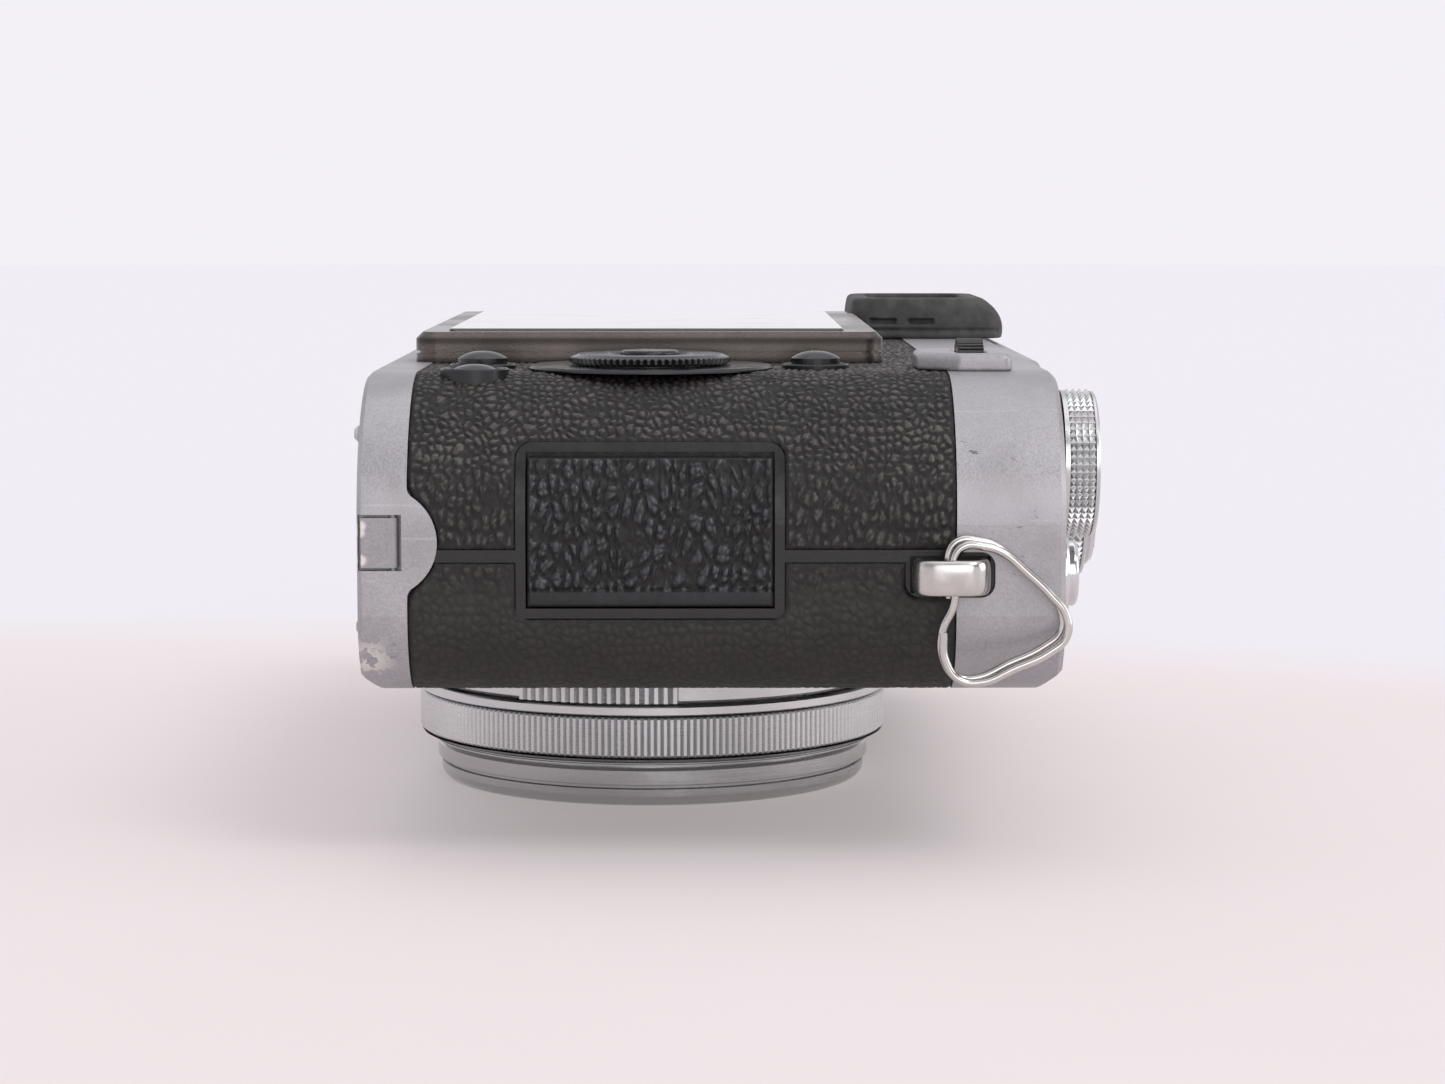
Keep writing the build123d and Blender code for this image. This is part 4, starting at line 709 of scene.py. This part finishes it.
def door_panel():
    """The flap over the connectors: coarse grain, and a smooth rounded lip on its free edge."""
    low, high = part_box("port_door")
    door_x = (low[0] + DOOR_INSET, high[0] - DOOR_INSET)
    top = math.degrees(math.asin((high[2] + DOOR_OVERLAP - REAR + REAR_RADIUS) / REAR_RADIUS))
    path = [
        line((GRIP_END, low[2]), (GRIP_END, REAR - REAR_RADIUS), (-1, 0)),
        arc(REAR_ARCS[0], REAR_RADIUS, 180, 180 - top),
    ]
    s = stations([p["length"] for p in path], (DOOR_STEP, DOOR_STEP))
    x = stations([door_x[1] - door_x[0]], [DOOR_STEP]) + door_x[0]
    sx, ss, yy, zz, nyy, nzz, z = surface(path, s, x)
    rim = np.minimum(np.minimum(sx - door_x[0], door_x[1] - sx), np.minimum(ss, s[-1] - ss))
    height = grain(sx, ss * DOOR_SQUASH, DOOR_GRAIN, SEEDS["door"])
    on_lip = 1 - smoothstep(LIP - 0.1 * MM, LIP + 0.15 * MM, ss)
    lift = DOOR_DEPTH * (height - 0.88) * (1 - on_lip) * smoothstep(0, 0.7 * MM, rim)
    lift += on_lip * LIP_BULGE * np.sin(np.pi * np.clip(ss / LIP, 0, 1))
    # a gutter between the lip and the grain, and rounded rims
    lift -= DOOR_DROP * np.exp(-((ss - LIP - 0.12 * MM) / (0.13 * MM)) ** 2)
    lift -= DOOR_DROP * (1 - smoothstep(0, 0.3 * MM, rim)) + DOOR_SUNK
    outer = lifted(sx, yy, zz, nyy, nzz, lift)
    inner = lifted(sx, yy, zz, nyy, nzz, -DOOR_THICK)
    index, quads = quad_grid(*sx.shape)
    front = quads.reshape(-1, 4)
    back = front[:, ::-1] + index.size
    loop = np.concatenate([index[0, :-1], index[:-1, -1], index[-1, :0:-1], index[:0:-1, 0]])
    after = np.roll(loop, -1)
    sides = np.stack([after, loop, loop + index.size, after + index.size], axis=-1)
    faces = np.concatenate([front, back, sides]).tolist()
    # painted light and painted shade as on the body's leather; the lip takes one even tone, and the
    # rims, back and sides take the darkest tone, a painted shade along its edges
    shown = painted_light_relief(height, s, z, GRAIN_DEPTH)
    relief_and_painted_light = (shown * (1 - on_lip) + LIP_RELIEF * on_lip) * smoothstep(0.05 * MM, 0.3 * MM, rim)
    relief_and_painted_light = np.concatenate([relief_and_painted_light.reshape(-1), np.zeros(index.size)])
    verts = np.concatenate([outer, inner]).tolist()
    obj = new_object("door_panel", verts, faces, DOOR_LEATHER, relief_and_painted_light=relief_and_painted_light)
    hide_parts("port_door")
    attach(obj, "port_door")


door_panel()


# ---------------------------------------------------------------- strap rings and their loops

# one turn of a ring as it hangs, X and Z in millimetres
RING_POINTS = [
    (28.45, 23.6), (28.7, 20.9), (30.0, 19.1), (32.0, 18.8), (35.2, 20.1), (38.6, 21.7),
    (40.2, 23.2), (40.2, 25.2), (38.7, 27.2), (36.4, 29.4), (34.1, 31.3), (32.2, 31.9),
    (30.4, 31.9), (29.5, 30.9), (29.5, 28.7), (29.5, 26.4),
]
WIRE = 0.41 * MM
TURN_OFFSET = 0.22
CHANGE_OVER = (14.0, 21.0)


def strap_ring(node, side):
    """A split ring of two turns of round wire, side by side, with a step where they change over."""
    axis_y = centre(node)[1]
    turns = RING_POINTS + RING_POINTS
    curve = bpy.data.curves.new("wire_" + node, "CURVE")
    curve.dimensions = "3D"
    spline = curve.splines.new("BEZIER")
    spline.bezier_points.add(len(turns) - 1)
    for i, (x, z) in enumerate(turns):
        swing = 1 - 2 * smoothstep(*CHANGE_OVER, float(i))
        x, z = x + TURN_OFFSET * swing, z - TURN_OFFSET * swing
        point = spline.bezier_points[i]
        point.co = (x * MM, axis_y + side * WIRE * swing, z * MM)
        point.handle_left_type = point.handle_right_type = "AUTO"
    curve.bevel_depth = WIRE
    curve.bevel_resolution = 5
    curve.resolution_u = 10
    curve.use_fill_caps = True
    curve.materials.append(NICKEL)
    obj = add("wire_" + node, curve)
    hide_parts(node)
    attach(obj, node)


strap_ring("strap_ring_grip", -1)
strap_ring("strap_ring_far", 1)

LOOP_REACH, LOOP_FOOT = 3.15 * MM, 1.0 * MM
LOOP_HALF, LOOP_CORNER = 3.15 * MM, 1.75 * MM
BAR_HALF, BAR_SQUARENESS = (0.62 * MM, 1.72 * MM), (0.75, 0.5)
BAR_SIDES = 20


def strap_loop(name, end, side):
    """The loop that a ring hangs on: a rounded bar bent into a staple, its feet in the body."""
    out = end + side * LOOP_REACH
    path = [(-LOOP_HALF, end - side * LOOP_FOOT)]
    for a in range(0, 91, 15):
        c, s = math.cos(math.radians(a)), math.sin(math.radians(a))
        path.append((-LOOP_HALF + LOOP_CORNER * (1 - c), out + side * LOOP_CORNER * (s - 1)))
    path += [(-x, y) for x, y in reversed(path)]
    path = np.array(path)
    along = np.gradient(path, axis=0)
    along /= np.linalg.norm(along, axis=1)[:, None]
    across = np.stack([along[:, 1], -along[:, 0]], axis=1)
    section = []
    for k in range(BAR_SIDES):
        a = 2 * math.pi * k / BAR_SIDES
        section.append([
            half * math.copysign(abs(wave) ** power, wave)
            for half, power, wave in zip(BAR_HALF, BAR_SQUARENESS, (math.cos(a), math.sin(a)))
        ])
    verts = []
    for (x, y), (nx, ny) in zip(path, across):
        verts += [(LUG_X + x + nx * u, y + ny * u, LUG_Z + w) for u, w in section]
    faces = []
    for first in range(0, BAR_SIDES * (len(path) - 1), BAR_SIDES):
        for k in range(BAR_SIDES):
            j = (k + 1) % BAR_SIDES
            faces.append([first + k, first + BAR_SIDES + k, first + BAR_SIDES + j, first + j])
    count = len(verts)
    faces += [list(range(BAR_SIDES)), list(range(count - 1, count - 1 - BAR_SIDES, -1))]
    obj = new_object(name, verts, faces, NICKEL)
    rounder = obj.modifiers.new("round", "SUBSURF")
    rounder.levels = rounder.render_levels = 2
    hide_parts("strap_lugs")
    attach(obj, ROOT)


strap_loop("strap_loop_grip", GRIP_END, -1)
strap_loop("strap_loop_far", FAR_END, 1)


# ---------------------------------------------------------------- moulded and cast pieces

EYE_LOW, EYE_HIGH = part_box("eyecup")
EYE_SHIFT, EYE_LOWERED = 0.3 * MM, 0.85 * MM
GROOVE_SLOPE = 0.2 * MM


def eyecup_warp(points):
    """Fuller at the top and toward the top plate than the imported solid, and a little lower."""
    rise = np.clip((points[:, 2] - REAR) / (EYE_HIGH[2] - REAR), 0, 1)
    points[:, 0] = EYE_LOW[0] + EYE_SHIFT + (points[:, 0] - EYE_LOW[0]) * (1.05 + 0.12 * rise)
    points[:, 2] -= EYE_LOWERED * rise
    return points


def melted(node, mat, voxel, rounds, warp=None):
    """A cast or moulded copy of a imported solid, remeshed and smoothed so that its corners flow."""
    mesh = NODES[node].data.copy()
    if warp:
        points = np.array([v.co for v in mesh.vertices])
        mesh.vertices.foreach_set("co", warp(points).reshape(-1))
    source = add(node + "_source", mesh)
    remesh = source.modifiers.new("remesh", "REMESH")
    remesh.mode = "VOXEL"
    remesh.voxel_size = voxel
    smooth = source.modifiers.new("smooth", "SMOOTH")
    smooth.factor = 0.5
    smooth.iterations = rounds
    done = evaluated_mesh(source)
    done.materials.clear()
    done.materials.append(mat)
    done.polygons.foreach_set("use_smooth", [True] * len(done.polygons))
    obj = add(node + "_cast", done)
    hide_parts(node)
    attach(obj, ROOT)
    return done


def groove(mesh, spans, z, half, depth, face_y):
    """Press straight grooves into the side that faces the grip end."""
    for vertex in mesh.vertices:
        x, y, height = vertex.co
        if y > face_y:
            continue
        for low, high in spans:
            inside = min(x - low, high - x, half - abs(height - z))
            if inside > 0:
                vertex.co.y += depth * min(1.0, inside / GROOVE_SLOPE)


SLOTS = [(26.0 * MM, 29.4 * MM), (30.8 * MM, 34.0 * MM)]
PARTING = [(24.0 * MM, 42.0 * MM)]
cup = melted("eyecup", RUBBER, 0.2 * MM, 5, eyecup_warp)
groove(cup, SLOTS, 49.6 * MM, 0.4 * MM, 0.6 * MM, EYE_LOW[1] + 1.5 * MM)
groove(cup, PARTING, 48.5 * MM, 0.3 * MM, 0.25 * MM, EYE_LOW[1] + 3 * MM)
melted("lever_housing", SILVER, 0.14 * MM, 14)

LEVER_X, LEVER_PIN_Z, LEVER_HALF = 32.75 * MM, 46.3 * MM, 1.3 * MM
RIDGES, RIDGE_DEPTH, LEVER_SWEEP = 13, 0.28 * MM, 94
LEVER_DEPTH, LEVER_TAPER = 0.6 * MM, 0.2 * MM


def ridged_lever():
    """The thumb lever: an arc about its pin, with fine ridges that run along X."""
    low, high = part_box("command_lever")
    pin_y = (low[1] + high[1]) / 2
    radius = high[2] - LEVER_PIN_Z
    root = radius - RIDGE_DEPTH
    outline = []
    for i in range(RIDGES):
        for share, r in ((0.0, root), (0.2, radius), (0.62, radius), (0.82, root)):
            a = math.radians(-LEVER_SWEEP / 2 + LEVER_SWEEP * (i + share) / RIDGES)
            outline.append((pin_y + r * math.sin(a), LEVER_PIN_Z + r * math.cos(a)))
    foot = REAR - LEVER_DEPTH
    outline += [(outline[-1][0] - LEVER_TAPER, foot), (outline[0][0] + LEVER_TAPER, foot)]
    verts = [(LEVER_X + side * LEVER_HALF, y, z) for side in (-1, 1) for y, z in outline]
    n = len(outline)
    faces = [list(range(n)), list(range(2 * n - 1, n - 1, -1))]
    faces += [[(i + 1) % n, i, n + i, n + (i + 1) % n] for i in range(n)]
    obj = new_object("ridged_lever", verts, faces, LEVER, smooth=False)
    soften(obj, 0.06 * MM, 20)
    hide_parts("command_lever")
    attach(obj, "command_lever")


ridged_lever()


# ---------------------------------------------------------------- printed figures

FIGURE_THICK, FIGURE_GAP = 0.012 * MM, 0.004 * MM
STROKE_SIZE, STROKE_OUT = 0.5, 0.82
RING_FIGURE, RING_FIRST, RING_PITCH = 1.7 * MM, -34, 9.2


def figure(text, size, spot, right, up):
    """Thin raised figures at spot, reading along right with their tops towards up."""
    curve = bpy.data.curves.new("figure", "FONT")
    curve.body = text
    curve.size = size
    curve.extrude = FIGURE_THICK
    curve.align_x = "CENTER"
    curve.align_y = "CENTER"
    mesh = evaluated_mesh(add("figure", curve))
    turn = Matrix((right, up, right.cross(up))).transposed().to_4x4()
    mesh.transform(Matrix.Translation(spot) @ turn)
    return mesh


def join_figures(name, meshes, body):
    """One piece made of all the figures of one dial."""
    verts, faces = [], []
    for mesh in meshes:
        start = len(verts)
        verts += [tuple(v.co) for v in mesh.vertices]
        faces += [[start + i for i in p.vertices] for p in mesh.polygons]
    obj = new_object(name, verts, faces, INK, smooth=False)
    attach(obj, body)


def dial_figures(node, words, radius, size, first, step):
    """Figures round the top of a dial whose axis is X, and a stroke by each."""
    _, y, z = centre(node)
    middle = Vector((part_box(node)[1][0] + FIGURE_GAP, y, z))
    meshes = []
    for i, word in enumerate(words):
        a = math.radians(first + step * i)
        out = Vector((0, math.cos(a), math.sin(a)))
        along = Vector((0, math.sin(a), -math.cos(a)))
        spot = middle + out * radius
        meshes.append(figure(word, size, spot, along, out))
        meshes.append(figure("l", size * STROKE_SIZE, spot + out * size * STROKE_OUT, along, out))
    join_figures("figures_" + node, meshes, node)


def ring_figures():
    """The stops round the aperture ring, on the side of the top plate."""
    low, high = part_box("aperture_ring")
    z = (low[2] + high[2]) / 2
    radius = 25.7 * MM + 0.006 * MM
    meshes = []
    for i, word in enumerate(["A", "16", "11", "8", "5.6", "4", "2.8", "2"]):
        a = math.radians(RING_FIRST + RING_PITCH * i)
        spot = Vector((0, 0, z)) + Vector((math.cos(a), math.sin(a), 0)) * radius
        along = Vector((math.sin(a), -math.cos(a), 0))
        meshes.append(figure(word, RING_FIGURE, spot, along, Vector((0, 0, -1))))
    join_figures("figures_aperture_ring", meshes, "aperture_ring")


SPEEDS = ["B", "T", "4", "8", "15", "30", "60", "125", "250", "500", "1000", "A"]
dial_figures("shutter_dial", SPEEDS, 5.9 * MM, 1.55 * MM, 100, -29)
dial_figures("exposure_dial", ["3", "2", "1", "0", "1", "2", "3"], 5.2 * MM, 1.6 * MM, 190, -33)
ring_figures()


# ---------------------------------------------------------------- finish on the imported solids

FINISH = [
    (SILVER, "top_cover bottom_cover battery_hatch"),
    (FLAP, "cable_flap"),
    (BLACK, "front_shell rear_shell lug_liners hatch_latch shoe_contacts diopter_dial lens_bezel"),
    (BLACK, "card_cage"),
    (TRIM, "seam_trim"),
    (STEEL, "sockets base_screws tripod_socket hot_shoe chassis"),
    (FOOT, "base_feet"),
    (BRIGHT, "exposure_dial shutter_dial function_button finder_selector"),
    (POLISHED, "power_switch shutter_button"),
    (DIFFUSER, "flash_window focus_lamp"),
    (DEEP, "finder_housing sensor"),
    (CLEAR, "finder_glass rear_element"),
    (COATED, "front_element"),
    (BRONZE, "screen_frame"),
    (SCREEN, "screen_glass"),
    (FLANGE, "control_trim wheel menu_button"),
    (GLOSSY, "lock_button display_button quick_button play_button"),
    (GLOSSY, "meter_button focus_button view_button"),
    (TURNED, "lens_tube focus_ring aperture_ring"),
    (TURNED_DARK, "lens_nose front_rim"),
    (BOARD, "main_board"),
    (CELL, "battery memory_card"),
]
SOFT_EDGES = {
    "top_cover": 0.16, "bottom_cover": 0.16, "cable_flap": 0.32, "battery_hatch": 0.1,
    "seam_trim": 0.1, "lug_liners": 0.1, "screen_frame": 0.5, "control_trim": 0.08,
    "power_switch": 0.1, "shutter_button": 0.08, "hot_shoe": 0.1, "finder_selector": 0.12,
    "front_rim": 0.05, "lens_nose": 0.04, "lens_tube": 0.05, "menu_button": 0.05,
    "flash_window": 0.05, "diopter_dial": 0.04, "function_button": 0.05, "hatch_latch": 0.06,
    "tripod_socket": 0.08,
}
for finish, finished in FINISH:
    for name in finished.split():
        mesh = NODES[name].data
        mesh.materials.clear()
        mesh.materials.append(finish)
        smooth_by_angle(mesh, 32)
for name, width in SOFT_EDGES.items():
    soften(NODES[name], width * MM)


# ---------------------------------------------------------------- table, light and camera

TABLE_CENTRE, TABLE_RADIUS = (-0.062, -0.178, 0), 0.30
TABLE_GLOW = (0.25, 0.235, 0.237, 1)
TABLE_PALE, TABLE_PALER = (0.560, 0.508, 0.508), (0.570, 0.518, 0.520)
BACKDROP = (0.56, 0.556, 0.592)
TENT_NEAR, TENT_BEHIND, TENT_TOP = 0.42, 0.85, 1.0
TENT_COLOUR = (0.896, 0.88, 0.925, 1)
CAMERA_SPOT = (0.00604, -0.3793, 0.06454)
PITCH, YAW = math.radians(5.803), math.radians(0.284)
SENSOR_WIDTH, FOCAL_LENGTH = 36.0, 84.07


def table_top():
    """A pale round table, faintly pink, that takes the backdrop's colour beyond its edge."""
    m = Shader("table", Roughness=0.7, Specular_IOR_Level=0.0, Emission_Color=TABLE_GLOW,
               Emission_Strength=1.0)
    beyond = m.remap(m.far_from(TABLE_CENTRE), TABLE_RADIUS - 0.02, TABLE_RADIUS + 0.03, 0, 1)
    m.colour(m.mix(beyond, m.mix(m.clouds(18), TABLE_PALE, TABLE_PALER), BACKDROP))
    bpy.ops.mesh.primitive_circle_add(vertices=96, radius=3.0, fill_type="NGON", location=(0, 0, 0))
    floor = bpy.context.object
    floor.name = "table_top"
    floor.data.materials.append(m.mat)


def sun(name, direction, strength, spread, colour=(1, 1, 1)):
    """A very soft light from one direction, the same all over the table."""
    light = bpy.data.lights.new(name, "SUN")
    light.energy = strength
    light.angle = math.radians(spread)
    light.color = colour
    add(name, light).rotation_euler = Vector(direction).to_track_quat("Z", "Y").to_euler()


def studio():
    """A white tent: even round the horizon, brightest overhead, darker above the camera."""
    world = bpy.data.worlds.new("studio")
    bpy.context.scene.world = world
    world.use_nodes = True
    tree = world.node_tree
    way = tree.nodes.new("ShaderNodeSeparateXYZ")
    tree.links.new(tree.nodes.new("ShaderNodeTexCoord").outputs["Generated"], way.inputs[0])
    side = map_range(tree, way.outputs["Y"], -0.7, 0.4, TENT_NEAR, TENT_BEHIND)
    above = map_range(tree, way.outputs["Z"], 0.55, 0.9, side, TENT_TOP)
    level = map_range(tree, way.outputs["Z"], 0.1, 0.3, 1.0, above)
    background = tree.nodes["Background"]
    background.inputs["Color"].default_value = TENT_COLOUR
    tree.links.new(level, background.inputs["Strength"])


def place_camera():
    data = bpy.data.cameras.new("camera")
    data.sensor_width = SENSOR_WIDTH
    data.lens = FOCAL_LENGTH
    data.clip_start = 0.01
    camera = add("camera", data)
    camera.location = CAMERA_SPOT
    level = math.cos(PITCH)
    forward = Vector((math.sin(YAW) * level, math.cos(YAW) * level, -math.sin(PITCH)))
    camera.rotation_euler = forward.to_track_quat("-Z", "Y").to_euler()
    bpy.context.scene.camera = camera


table_top()
studio()
sun("overhead", (0.1, 0.2, 1.0), 0.25, 50)
sun("key", (0.45, -0.5, 0.8), 0.75, 24)
sun("front_low", (0.15, -1.0, 0.26), 0.6, 40)
sun("right_side", (1.0, -0.1, 0.26), 0.7, 40, (1.0, 0.98, 0.96))
sun("left_side", (-1.0, 0.1, 0.26), 0.10, 40, (0.96, 0.98, 1.0))
place_camera()

view = bpy.context.scene.view_settings
view.view_transform = "Standard"
view.look = "None"
view.exposure = 0.0
